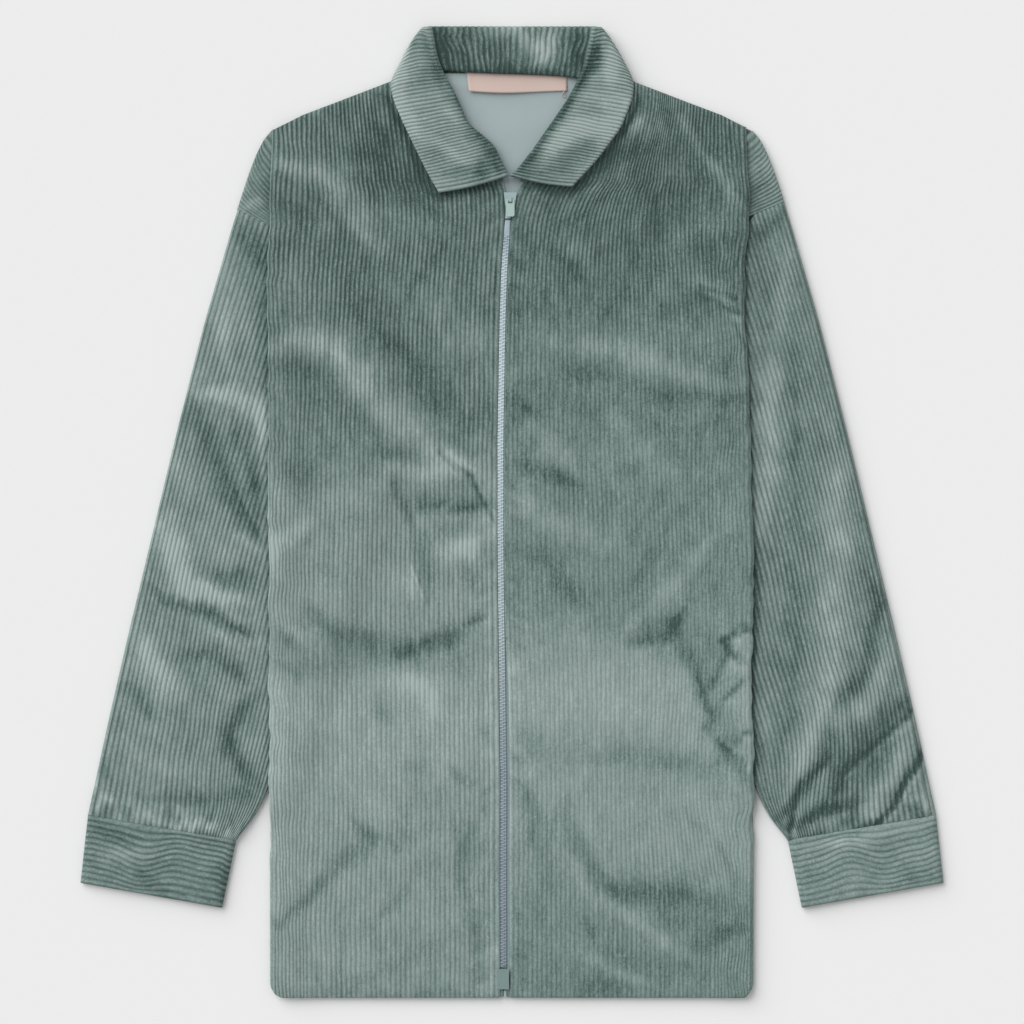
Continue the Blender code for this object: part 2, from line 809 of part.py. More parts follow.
def add_tube(name, ring, outer_rows, inner_rows, outer_columns, inner_columns, wall):
    """A flattened tube, open at both ends."""
    outer = [ring(along, outer_columns, True, 0.0) for along in outer_rows]
    inner = [ring(along, inner_columns, False, wall) for along in inner_rows]

    def keys(rows, columns):
        rest = len(rows[0]) - columns - 1
        return shares(columns) + [1.0 + step / (rest + 1) for step in range(1, rest + 2)]

    add_wall(
        name,
        Grid(outer, keys(outer, outer_columns), outer_rows, closed=True),
        Grid(inner, keys(inner, inner_columns), inner_rows, closed=True),
    )


def add_cuff(side):
    sign = SIDES[side]
    rows = shares(2 * CUFF_WALES)
    length = abs(CUFF_BOTTOM[0][1] - CUFF_TOP[0][1])

    def ring(along, columns, raised, wall):
        wale = WALE_HEIGHT if raised and round(along * 2 * CUFF_WALES) % 2 else 0.0
        start = SEAM / length
        down = mix(start, 1.0, along)
        ends = [
            [mix(CUFF_TOP[end][axis], CUFF_BOTTOM[end][axis], down) for axis in (0, 1)]
            for end in (0, 1)
        ]
        width = (Vector(ends[0]) - Vector(ends[1])).length

        def place(share):
            x = mix(ends[0][0], ends[1][0], share)
            y = mix(ends[0][1], ends[1][1], share)
            loft = CUFF_LOFT * rounded(2.0 * share) * rounded(2.0 * along)
            return sign * x, y, 0.0, CUFF_TOP_Z + loft

        return tube_ring(
            place,
            width,
            shares(columns),
            lambda number: wale,
            [0.5],
            SLEEVE_FOLD,
            wall,
            4,
        )

    add_tube("cuff_" + side, ring, rows, shares(4), 3, 3, CUFF_WALL)


# ---------------------------------------------------------------- collar


def leaf_ends(side, share):
    row = {name: LEAVES[side].read(name, share) for name in LEAVES[side].names[1:]}
    return Vector((row["inner_x"], row["inner_y"])), Vector((row["outer_x"], row["outer_y"]))


def neck_seam(inner, outward):
    """How far from a leaf's roll, along its wales, a front's neckline lies."""
    low = 0.0
    high = 30.0
    for _ in range(24):
        middle = (low + high) / 2.0
        point = inner + outward * middle
        if point.y > TOP_EDGE.read("y", abs(point.x)) or point.x < 10.0:
            low = middle
        else:
            high = middle
    return low


def leaf_row(side, share, thickness, raised):
    """One row across a leaf: outer edge, panel, roll and the stand under it."""
    sign = SIDES[side]
    inner, outer = leaf_ends(side, share)
    outward = (outer - inner).normalized()
    width = (outer - inner).length
    edge_z = LEAF_FORM.read("edge_z", share)
    turn = math.radians(LEAF_FORM.read("turn", share))
    reach = LEAF_LOOP + COLLAR_WALL
    bow = LEAF_BULGE * share**6
    row = []
    for across in LEAF_ACROSS:
        flat = across * (width - reach)
        plan = outer - outward * flat
        rise = mix(rounded(flat / EDGE_ROUND), smooth(flat / width), smooth((share - 0.3) / 0.12))
        z = mix(edge_z, LEAF_Z, rise) if across < 1.0 else LEAF_Z
        y = plan.y - bow * math.sin(math.pi * min(flat / width, 1.0))
        row.append((sign * plan.x, y, z + thickness + raised))
    centre = inner + outward * reach
    for step in (1, 2, 3):
        angle = turn * step / 3.0
        around = LEAF_LOOP + thickness + (raised if step == 1 else 0.0)
        plan = centre - outward * around * math.sin(angle)
        z = LEAF_Z - LEAF_LOOP + around * math.cos(angle)
        row.append((sign * plan.x, plan.y, z))
    seam = max(neck_seam(inner, outward) - reach - NECK_GAP, 1.0)
    under = mix(SEAM, seam, LEAF_FORM.read("stand", share))
    around = LEAF_LOOP + thickness
    plan = centre - outward * (around * math.sin(turn) + under * math.cos(turn))
    z = LEAF_Z - LEAF_LOOP + around * math.cos(turn) - under * math.sin(turn)
    row.append((sign * plan.x, plan.y, z))
    return row


def add_leaf(side):
    rows = shares(2 * LEAF_WALES)
    outer = [
        leaf_row(side, share, COLLAR_WALL, WALE_HEIGHT if number % 2 else 0.0)
        for number, share in enumerate(rows)
    ]
    inner = [leaf_row(side, share, 0.0, 0.0) for share in LEAF_UNDER_ROWS]
    across = shares(len(outer[0]) - 1)
    add_wall(
        "collar_" + side,
        Grid(outer, across, rows),
        Grid(inner, across, LEAF_UNDER_ROWS),
    )


def stand_row(place, thickness, raised):
    """One line over the collar behind the neck, from the fall below round to its inner face."""
    side_share = abs(place)
    loop = (STAND_Z - COLLAR_WALL) / 2.0
    centre_z = COLLAR_WALL + loop
    crown = loop + COLLAR_WALL + STAND_WALE
    centre_y = COLLAR_TOP_Y - crown * math.cos(math.radians(STAND_TURN))
    fall_y = FALL_EDGE.read("y", side_share)
    foot_rise = STAND_FOOT_RISE["left" if place < 0.0 else "right"]
    stand_y = STAND_FOOT_Y + foot_rise * side_share**4
    row = []
    stops = [(fall_y, -90.0, False), (centre_y, -90.0, False)]
    stops += [(centre_y, -STAND_TURN, False), (centre_y, STAND_TURN, True)]
    stops += [(centre_y, 90.0, True), (STAND_MIDDLE_Y, 90.0, True)]
    stops += [(stand_y, 90.0, True)]
    for y, degrees, upper in stops:
        angle = math.radians(degrees)
        around = loop + thickness + (raised if upper else 0.0)
        y = y + around * math.cos(angle)
        half = STAND_HALF.read("stand" if upper else "fall", y)
        row.append((place * half, y, centre_z + around * math.sin(angle)))
    return row


def add_collar_back():
    places = [mix(-1.0, 1.0, share) for share in shares(2 * STAND_WALES)]
    outer = [
        stand_row(place, COLLAR_WALL, STAND_WALE if number % 2 else 0.0)
        for number, place in enumerate(places)
    ]
    kinks = (0.2, 0.4, 0.62, 0.74, 0.8, 0.9, 1.0)
    under = [-share for share in reversed(kinks)] + [0.0, *kinks]
    inner = [stand_row(place, 0.0, 0.0) for place in under]
    across = shares(len(outer[0]) - 1)
    add_wall("collar_back", Grid(outer, across, places), Grid(inner, across, under))


# ---------------------------------------------------------------- zip


def zip_ys(low, high):
    """Heights where the zip's line bends, between two ends."""
    return [low, *[row[0] for row in ZIP_LINE.rows if low < row[0] < high], high]


def add_strip(name, ys, edges, low, high, colour, roughness=0.6):
    """A flat strip along the zip; edges(y) gives its two distances from the zip's line."""
    outline = [(ZIP_LINE.read("x", y) + edges(y)[0], y) for y in ys]
    outline += [(ZIP_LINE.read("x", y) + edges(y)[1], y) for y in reversed(ys)]
    add_prism(name, outline, low, high, colour, roughness)


def add_zip():
    chain_ys = zip_ys(CHAIN_END_Y, CHAIN_TOP_Y)
    add_strip(
        "zip_chain",
        chain_ys,
        lambda y: (-CHAIN_HALF, CHAIN_HALF),
        CHAIN_Z,
        CHAIN_Z + CHAIN_HEIGHT,
        CHAIN_COLOUR,
        0.4,
    )
    for side, sign in SIDES.items():

        def edges(y):
            open_by = mix(SEAM, TAPE_OPEN, smooth((y - CHAIN_TOP_Y) / TAPE_OPEN_OVER))
            return sign * open_by, sign * (open_by + TAPE_WIDTH)

        add_strip(
            "zip_tape_" + side,
            zip_ys(HEM_Y + THIN, TAPE_TOP_Y),
            edges,
            TAPE_Z,
            TAPE_Z + THIN,
            TAPE_COLOUR,
        )


def extruded(profile, low, high, place):
    """Points and faces of a profile drawn between two ends; place(a, b, t) sets each point."""
    count = len(profile)
    points = [place(a, b, low) for a, b in profile]
    points += [place(a, b, high) for a, b in profile]
    faces = [tuple(range(count)), tuple(range(count, 2 * count))]
    for index in range(count):
        after = (index + 1) % count
        faces.append((index, after, count + after, count + index))
    return points, faces


def tee(half, plate):
    """Section of a piece whose stem stands between the front edges and whose plate lies on them."""
    stem = CHAIN_HALF - 0.1
    return (
        (-stem, CHAIN_Z),
        (stem, CHAIN_Z),
        (stem, SLIDER_PLATE_Z),
        (half, SLIDER_PLATE_Z),
        (half, SLIDER_PLATE_Z + plate),
        (-half, SLIDER_PLATE_Z + plate),
        (-half, SLIDER_PLATE_Z),
        (-stem, SLIDER_PLATE_Z),
    )


def join(name, target, tool, operation):
    """Runs a Boolean on an object and drops the tool."""
    step = target.modifiers.new(name, "BOOLEAN")
    step.operation = operation
    step.solver = "EXACT"
    step.object = tool
    bpy.context.view_layer.update()
    graph = bpy.context.evaluated_depsgraph_get()
    mesh = bpy.data.meshes.new_from_object(target.evaluated_get(graph))
    target.modifiers.clear()
    target.data = mesh
    bpy.data.objects.remove(tool)


def add_slider():
    """Body with two shoulders at the top, and the bridge that holds the pull tab's bar."""
    rear = SLIDER_Y - SLIDER_REAR
    front = SLIDER_Y + SLIDER_NOSE

    def body_point(a, z, y):
        flare = mix(SLIDER_TAPER, 1.0, smooth((y - rear) / (front - rear)))
        wide = a * (flare if abs(a) > CHAIN_HALF else 1.0)
        return (SLIDER_X + wide, y, z)

    points, faces = extruded(tee(SLIDER_HALF, SLIDER_PLATE), rear, front, body_point)
    slider = add_object("zip_slider", points, faces, PULL_COLOUR, 0.35)

    foot = SLIDER_PLATE_Z + SLIDER_PLATE / 2.0
    inner = ARCH_HALF - ARCH_WALL
    arch_in = AXIS_Z + BAR_REACH + SEAM
    arch_top = arch_in + ARCH_WALL
    arch = (
        (-ARCH_HALF, foot),
        (-inner, foot),
        (-inner, arch_in),
        (inner, arch_in),
        (inner, foot),
        (ARCH_HALF, foot),
        (ARCH_HALF, arch_top - ARCH_CORNER),
        (ARCH_HALF - ARCH_CORNER, arch_top),
        (-ARCH_HALF + ARCH_CORNER, arch_top),
        (-ARCH_HALF, arch_top - ARCH_CORNER),
    )
    points, faces = extruded(
        arch,
        -ARCH_WIDTH / 2.0,
        ARCH_WIDTH / 2.0,
        lambda a, z, x: (SLIDER_X + x, SLIDER_Y + a, z),
    )
    bridge = add_object("bridge", points, faces, PULL_COLOUR)
    join("bridge", slider, bridge, "UNION")


def add_pull():
    """Tab with a window round the slider's bridge and a bar through it, on the joint's axis."""
    half = PULL_WIDTH / 2.0
    end = -PULL_LENGTH
    outline = (
        (-half, BAR_RADIUS),
        (half, BAR_RADIUS),
        (half, end + PULL_CORNER),
        (half - PULL_CORNER, end),
        (-half + PULL_CORNER, end),
        (-half, end + PULL_CORNER),
    )
    low = AXIS_Z - PULL_THICKNESS / 2.0
    high = AXIS_Z + PULL_THICKNESS / 2.0

    def at_axis(a, b, z):
        return (SLIDER_X + a, SLIDER_Y + b, z)

    points, faces = extruded(outline, low, high, at_axis)
    pull = add_object("zip_pull", points, faces, PULL_COLOUR, 0.35)
    half_window = PULL_WINDOW / 2.0
    window = (
        (-half_window, -BAR_RADIUS),
        (half_window, -BAR_RADIUS),
        (half_window, -WINDOW_REACH),
        (-half_window, -WINDOW_REACH),
    )
    points, faces = extruded(window, low - PULL_THICKNESS, high + PULL_THICKNESS, at_axis)
    cutter = add_object("window", points, faces, PULL_COLOUR)
    join("window", pull, cutter, "DIFFERENCE")


def add_stop():
    """Retainer box and pin at the hem end of the zip."""
    x = ZIP_LINE.read("x", CHAIN_END_Y)
    top = CHAIN_END_Y - SEAM
    points, faces = extruded(
        tee(BOX_HALF, BOX_PLATE),
        top,
        top - BOX_LENGTH,
        lambda a, z, y: (x + a, y, z),
    )
    add_object("zip_box", points, faces, PULL_COLOUR, 0.4)
    near = x + PIN_NEAR
    far = x + PIN_FAR
    pin = ((near, PIN_END_Y), (far, PIN_END_Y), (far, PIN_TOP_Y), (near, PIN_TOP_Y))
    add_prism("zip_pin", pin, CHAIN_Z, CHAIN_Z + PIN_HEIGHT, CHAIN_COLOUR, 0.4)


def main():
    for old in list(bpy.data.objects):
        bpy.data.objects.remove(old)
    add_back()
    add_neck()
    for side in SIDES:
        add_front(side)
        add_shoulder(side)
        add_sleeve(side)
        add_cuff(side)
        add_leaf(side)
    add_collar_back()
    add_zip()
    add_slider()
    add_pull()
    add_stop()


main()
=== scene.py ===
import math

import bpy
import numpy as np
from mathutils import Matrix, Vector


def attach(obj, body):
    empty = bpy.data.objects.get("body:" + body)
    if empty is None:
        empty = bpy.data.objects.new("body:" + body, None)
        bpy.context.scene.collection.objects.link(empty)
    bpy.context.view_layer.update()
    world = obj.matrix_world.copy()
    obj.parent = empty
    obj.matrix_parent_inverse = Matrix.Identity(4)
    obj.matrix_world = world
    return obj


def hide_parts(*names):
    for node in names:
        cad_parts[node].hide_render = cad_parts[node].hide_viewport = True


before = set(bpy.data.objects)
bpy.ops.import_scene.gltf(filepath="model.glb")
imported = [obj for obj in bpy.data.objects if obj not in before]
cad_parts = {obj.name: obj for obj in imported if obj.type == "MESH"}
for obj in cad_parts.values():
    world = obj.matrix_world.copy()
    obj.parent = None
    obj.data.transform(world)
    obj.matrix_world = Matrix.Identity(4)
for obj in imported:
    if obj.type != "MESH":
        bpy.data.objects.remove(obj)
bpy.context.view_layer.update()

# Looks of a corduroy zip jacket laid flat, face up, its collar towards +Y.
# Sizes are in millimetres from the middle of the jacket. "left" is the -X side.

MM = 0.001
UNIT = 0.84  # the soft folds and the nap are drawn in units of this many millimetres

# Cloth, as in the solids, apart from the wales' heights and their counts on fronts and leaves
WALL = 1.5
COLLAR_WALL = 2.6
CUFF_WALL = 2.2
SEAM = 0.3
THIN = 0.5
WALE_HEIGHT = 1.05
STAND_WALE = 0.9

HEM_Y = -408.2
COLLAR_TOP_Y = 408.2
HEM_CORNER = 14.0

BACK_TOP = WALL
LINING_Z = BACK_TOP + SEAM
LABEL_Z = LINING_Z + THIN + SEAM
TAPE_Z = LABEL_Z
CHAIN_Z = TAPE_Z + THIN + SEAM
FRONT_Z = 3.5
FRONT_LOFT = 0.3
SLEEVE_LIFT = 2.9
SLEEVE_TOP = 5.2
SHOULDER_Z = 3.5
FRONT_EDGE_Z = 1.8
FRONT_LEVEL_X = 12.0
CUFF_TOP_Z = 5.5

FRONT_WALES = {"left": 49, "right": 55}
SLEEVE_WALES = 36
CUFF_WALES = 12
LEAF_WALES = 46
STAND_WALES = 28
SHOULDER_WALES = 17

SLEEVE_FOLD = 4.0
SIDE_SPREAD = 45.0
SLEEVE_SPREAD = 30.0
SHOULDER_ROUND = 9.0
EDGE_ROUND = 7.0
ROUND_FROM_X = 172.0
ROUND_OVER = 22.0
SLEEVE_RISE_X = 222.0
SLEEVE_BACK_X = 206.0
SLEEVE_LOFT = 1.3
SLEEVE_LOFT_X = 212.0
SLEEVE_LOFT_OVER = 30.0
CUFF_TUCK = 1.1  # how far a sleeve runs on under its cuff
SHOULDER_TUCK = 1.6  # and under its shoulder
CUFF_LOFT = 0.4
LEAF_LOOP = 1.2
LEAF_Z = 8.6
LEAF_BULGE = 1.6
NECK_GAP = 1.6
STAND_Z = 3.4
STAND_TURN = 30.0
STAND_FOOT_Y = 364.6

CHAIN_HALF = 2.6
CHAIN_HEIGHT = 1.6
TAPE_WIDTH = 12.0
CHAIN_TOP_Y = 256.0
CHAIN_END_Y = -383.6
TAPE_TOP_Y = 280.0
TAPE_OPEN = 7.0
TAPE_OPEN_OVER = 24.0
TOOTH_PITCH = 2.96

BACK_WALES = 101
BACK_GROOVE = 0.55
BACK_INSET = 0.6
BACK_HEM_Y = -407.6
BACK_FLARE_Y = 236.0
BACK_FLARE_OVER = 17.0
BACK_FLARE_X = (205.0, 230.6)
BACK_NECK_X = 66.0
BACK_NECK_Y = 367.9

SIDES = {"left": -1.0, "right": 1.0}

# A wale's section: places across it, and how high each stands.
WALE_STEPS = (0.0, 0.13, 0.3, 0.5, 0.7, 0.87)
WALE_RISE = (0.28, 0.62, 0.92, 1.0, 0.92, 0.62)


class Table:
    """Rows of sizes with named columns, read by the first column."""

    def __init__(self, names, *rows):
        self.first = names[0]
        self.columns = dict(zip(names, np.array(rows, float).T))

    def read(self, name, key, soft=0.0):
        """Straight runs between rows; `soft` rounds the corners over that much of the key."""
        keys = self.columns[self.first]
        values = self.columns[name]
        key = np.asarray(key, float)
        if not soft:
            return np.interp(key, keys, values)
        soft = np.clip(np.minimum(key - keys[0], keys[-1] - key), 0.0, soft)
        total = 0.0
        for step, weight in ((-1.0, 1.0), (-0.5, 2.0), (0.0, 2.0), (0.5, 2.0), (1.0, 1.0)):
            total = total + weight * np.interp(key + step * soft, keys, values)
        return total / 8.0


SIDE_FOLD = Table(
    ("y", "left", "right"),
    (-408.2, 203.4, 202.9),
    (-228.0, 203.6, 203.3),
    (-130.0, 203.9, 201.4),
    (-35.0, 204.3, 203.0),
    (60.0, 204.7, 199.9),
    (150.0, 205.0, 196.4),
    (190.0, 205.0, 195.0),
    (220.0, 205.0, 196.0),
    (250.0, 203.6, 200.4),
    (290.0, 202.2, 197.6),
    (321.0, 201.6, 197.0),
)
SIDE_TURN = Table(
    ("y", "rest", "loop", "under"),
    (-408.2, 1.8, 1.8, 14.0),
    (-262.0, 1.8, 2.2, 18.0),
    (-228.0, 6.5, 1.2, 18.0),
    (220.0, 6.5, 1.2, 16.0),
    (290.0, 5.9, 1.0, 7.0),
    (313.0, 2.2, 0.7, 3.0),
    (321.0, 1.8, 0.6, 2.0),
)
ZIP_LINE = Table(
    ("y", "x", "gap"),
    (-408.2, -7.1, 2.9),
    (-335.0, -7.3, 2.9),
    (-262.0, -7.3, 2.9),
    (-228.0, -7.1, 2.9),
    (-130.0, -8.4, 2.9),
    (-35.0, -9.6, 2.9),
    (60.0, -9.7, 2.9),
    (150.0, -8.2, 2.9),
    (198.0, -6.8, 2.9),
    (247.0, -3.5, 2.9),
    (270.0, -0.8, 6.0),
    (277.0, 0.0, 10.0),
)
TOP_EDGE = Table(
    ("x", "y"),
    (10.0, 277.0),
    (16.8, 289.0),
    (26.9, 302.4),
    (45.4, 320.0),
    (60.5, 341.0),
    (67.2, 354.5),
    (73.9, 372.1),
    (102.5, 361.8),
    (150.4, 343.4),
    (175.6, 333.9),
    (189.0, 326.8),
    (201.6, 320.5),
)
NECK_POINT_X = 73.9
SHOULDER_EDGE = {
    "left": Table(
        ("share", "outer_x", "outer_y", "inner_x", "inner_y"),
        (0.0, 202.2, 320.6, 190.0, 312.0),
        (0.12, 209.0, 312.5, 195.0, 300.0),
        (0.3, 214.4, 301.8, 192.0, 282.0),
        (0.5, 219.8, 288.4, 190.7, 265.0),
        (0.75, 225.9, 270.4, 190.7, 249.0),
        (1.0, 231.1, 254.0, 190.7, 233.6),
    ),
    "right": Table(
        ("share", "outer_x", "outer_y", "inner_x", "inner_y"),
        (0.0, 202.2, 320.6, 190.0, 312.0),
        (0.12, 209.0, 312.5, 195.0, 301.0),
        (0.3, 214.1, 302.4, 192.0, 285.0),
        (0.5, 219.0, 290.4, 190.7, 270.0),
        (0.75, 224.5, 274.6, 190.7, 257.5),
        (1.0, 229.2, 260.0, 190.7, 245.0),
    ),
}
SLEEVE_EDGE = Table(
    ("share", "outer_x", "outer_y", "inner_x", "inner_y"),
    (0.0, 231.0, 253.4, 105.8, 84.4),
    (0.04, 235.8, 238.0, 110.3, 69.8),
    (0.2, 259.8, 155.0, 128.5, 11.5),
    (0.38, 283.2, 62.0, 149.0, -54.0),
    (0.55, 303.8, -24.0, 168.4, -116.0),
    (0.7, 322.2, -101.0, 185.5, -171.0),
    (0.82, 337.0, -165.0, 199.1, -214.5),
    (0.88, 344.0, -196.5, 206.0, -236.0),
    (0.94, 350.2, -226.0, 216.0, -256.5),
    (1.0, 356.6, -254.5, 231.8, -275.5),
)
ARMHOLE = {
    "left": Table(
        ("share", "x", "y"),
        (0.0, 230.9, 253.9),
        (0.137, 205.0, 241.0),
        (0.392, 169.7, 199.2),
        (0.689, 136.0, 144.6),
        (1.0, 105.8, 84.4),
    ),
    "right": Table(
        ("share", "x", "y"),
        (0.0, 229.1, 260.0),
        (0.137, 205.0, 250.6),
        (0.392, 170.5, 206.6),
        (0.689, 136.0, 146.5),
        (1.0, 105.8, 84.4),
    ),
}
SLEEVE_REACH = Table(
    ("y", "x"),
    (-262.0, 218.0),
    (-228.0, 194.0),
    (-130.0, 164.0),
    (-35.0, 134.0),
    (60.0, 97.0),
    (150.0, 117.0),
    (198.6, 138.0),
    (232.0, 158.0),
    (262.0, 226.0),
)
# How far the sleeves' wales move inwards, down the sleeve, in shares of its width.
UPRIGHT = Table(
    ("row", "left", "right"),
    (0.0, 0.0, 0.0),
    (0.2, 0.01, 0.0),
    (0.58, 0.02, 0.02),
    (0.66, 0.025, 0.0),
    (0.74, 0.03, -0.03),
    (0.8, 0.04, -0.03),
    (0.86, 0.065, 0.03),
    (0.93, 0.125, 0.13),
    (1.0, 0.2, 0.22),
)
CUFF_TOP = ((356.6, -254.5), (231.8, -275.5))
CUFF_BOTTOM = ((362.9, -311.6), (243.6, -332.6))
LEAVES = {
    "left": Table(
        ("share", "inner_x", "inner_y", "outer_x", "outer_y"),
        (0.0, 67.2, 407.4, 76.4, 406.4),
        (0.15, 63.4, 386.0, 89.2, 387.6),
        (0.25, 58.9, 372.1, 95.6, 374.2),
        (0.35, 53.0, 361.0, 102.7, 361.2),
        (0.44, 46.5, 348.4, 100.0, 347.0),
        (0.6, 37.2, 326.4, 90.2, 324.0),
        (0.8, 15.4, 308.4, 76.4, 295.6),
        (0.91, 8.4, 293.4, 69.2, 281.6),
        (1.0, 3.0, 282.0, 61.3, 268.0),
    ),
    "right": Table(
        ("share", "inner_x", "inner_y", "outer_x", "outer_y"),
        (0.0, 67.2, 407.4, 76.4, 406.4),
        (0.15, 63.4, 386.0, 89.6, 387.0),
        (0.25, 58.9, 371.0, 96.8, 373.6),
        (0.35, 53.4, 359.0, 102.9, 361.2),
        (0.44, 47.6, 347.6, 101.2, 347.2),
        (0.6, 33.6, 327.0, 91.8, 323.0),
        (0.8, 16.9, 303.4, 72.6, 297.0),
        (0.91, 6.8, 290.2, 61.2, 284.4),
        (1.0, -2.0, 282.0, 50.4, 273.0),
    ),
}
LEAF_FORM = Table(
    ("share", "turn", "edge_z", "stand"),
    (0.0, 90.0, 2.9, 0.0),
    (0.3, 90.0, 2.9, 0.0),
    (0.33, 90.0, 4.2, 0.0),
    (0.35, 112.0, 5.6, 0.0),
    (0.38, 145.0, 6.7, 0.0),
    (0.42, 180.0, 6.7, 0.0),
    (0.48, 180.0, 6.7, 1.0),
    (1.0, 180.0, 6.7, 1.0),
)
FALL_EDGE = Table(
    ("share", "y"),
    (0.0, 368.9),
    (0.62, 368.9),
    (0.74, 373.6),
    (0.8, 373.6),
    (1.0, 364.0),
)
STAND_HALF = Table(
    ("y", "fall", "stand"),
    (363.0, 101.3, 61.5),
    (408.2, 75.2, 70.5),
)
STAND_FOOT_RISE = Table(
    ("place", "rise"), (-1.0, 7.0), (-0.6, 4.8), (-0.2, 3.8), (0.2, 3.2), (0.6, 2.0), (1.0, -0.6)
)
LINING_HALF = Table(
    ("y", "half"),
    (250.0, 8.0),
    (254.0, 9.5),
    (270.0, 14.0),
    (286.0, 19.0),
    (299.0, 29.0),
    (317.0, 47.0),
    (337.0, 61.0),
    (353.0, 68.0),
    (367.4, 65.0),
)
LABEL_EDGE = Table(
    ("share", "top_x", "top_y", "foot_x", "foot_y"),
    (0.0, -38.3, 370.2, -36.2, 353.6),
    (0.3, -12.9, 369.9, -11.0, 351.9),
    (0.55, 8.2, 369.7, 8.6, 352.4),
    (0.75, 25.1, 369.3, 25.6, 353.4),
    (1.0, 46.2, 368.8, 46.2, 354.0),
)

# How light the fronts look up their length, 0 the darkest and 1 the lightest: painted sheen of
# the pile and painted light and shade of broad folds. Not by hand: this is the photo's lightness,
# read at these heights and corrected by measured differences. That isn't allowed in this file,
# and the first section of report.md says so.
NAP_AND_SHADE_BASE = Table(
    ("y", "left", "right"),
    (-483.0, 0.67, 0.48),
    (-438.0, 0.68, 0.55),
    (-388.0, 0.71, 0.56),
    (-338.0, 0.73, 0.71),
    (-288.0, 0.77, 0.75),
    (-248.0, 0.8, 0.65),
    (-208.0, 0.84, 0.81),
    (-178.0, 0.83, 0.82),
    (-148.0, 0.69, 0.76),
    (-128.0, 0.62, 0.69),
    (-98.0, 0.72, 0.52),
    (-48.0, 0.7, 0.49),
    (-8.0, 0.69, 0.49),
    (32.0, 0.62, 0.49),
    (62.0, 0.5, 0.49),
    (112.0, 0.44, 0.4),
    (142.0, 0.46, 0.45),
    (172.0, 0.45, 0.46),
    (212.0, 0.44, 0.35),
    (262.0, 0.4, 0.31),
    (312.0, 0.39, 0.3),
    (362.0, 0.4, 0.31),
    (412.0, 0.39, 0.35),
)

# How much painted shade darkens the grooves between the wales, and on the fronts how deep they
# are cut. These two tables, and PIECE_BASE, follow measured contrast and lightness of the photo.
GROOVE_DEPTH_AND_SHADE = Table(
    ("y", "left", "right"),
    (-480.0, 0.7, 0.55),
    (-400.0, 0.75, 0.6),
    (-260.0, 0.65, 0.4),
    (-140.0, 0.7, 0.4),
    (-60.0, 0.95, 0.55),
    (60.0, 0.95, 0.55),
    (140.0, 1.05, 0.7),
    (220.0, 1.3, 0.95),
    (300.0, 1.55, 1.15),
    (400.0, 1.55, 1.25),
)
PIECE_GROOVE_SHADE = {
    "sleeve_left": 1.0,
    "sleeve_right": 1.25,
    "shoulder_left": 1.1,
    "shoulder_right": 1.1,
    "cuff_left": 1.2,
    "cuff_right": 0.7,
    "collar_left": 0.95,
    "collar_right": 1.3,
    "collar_back": 1.4,
}
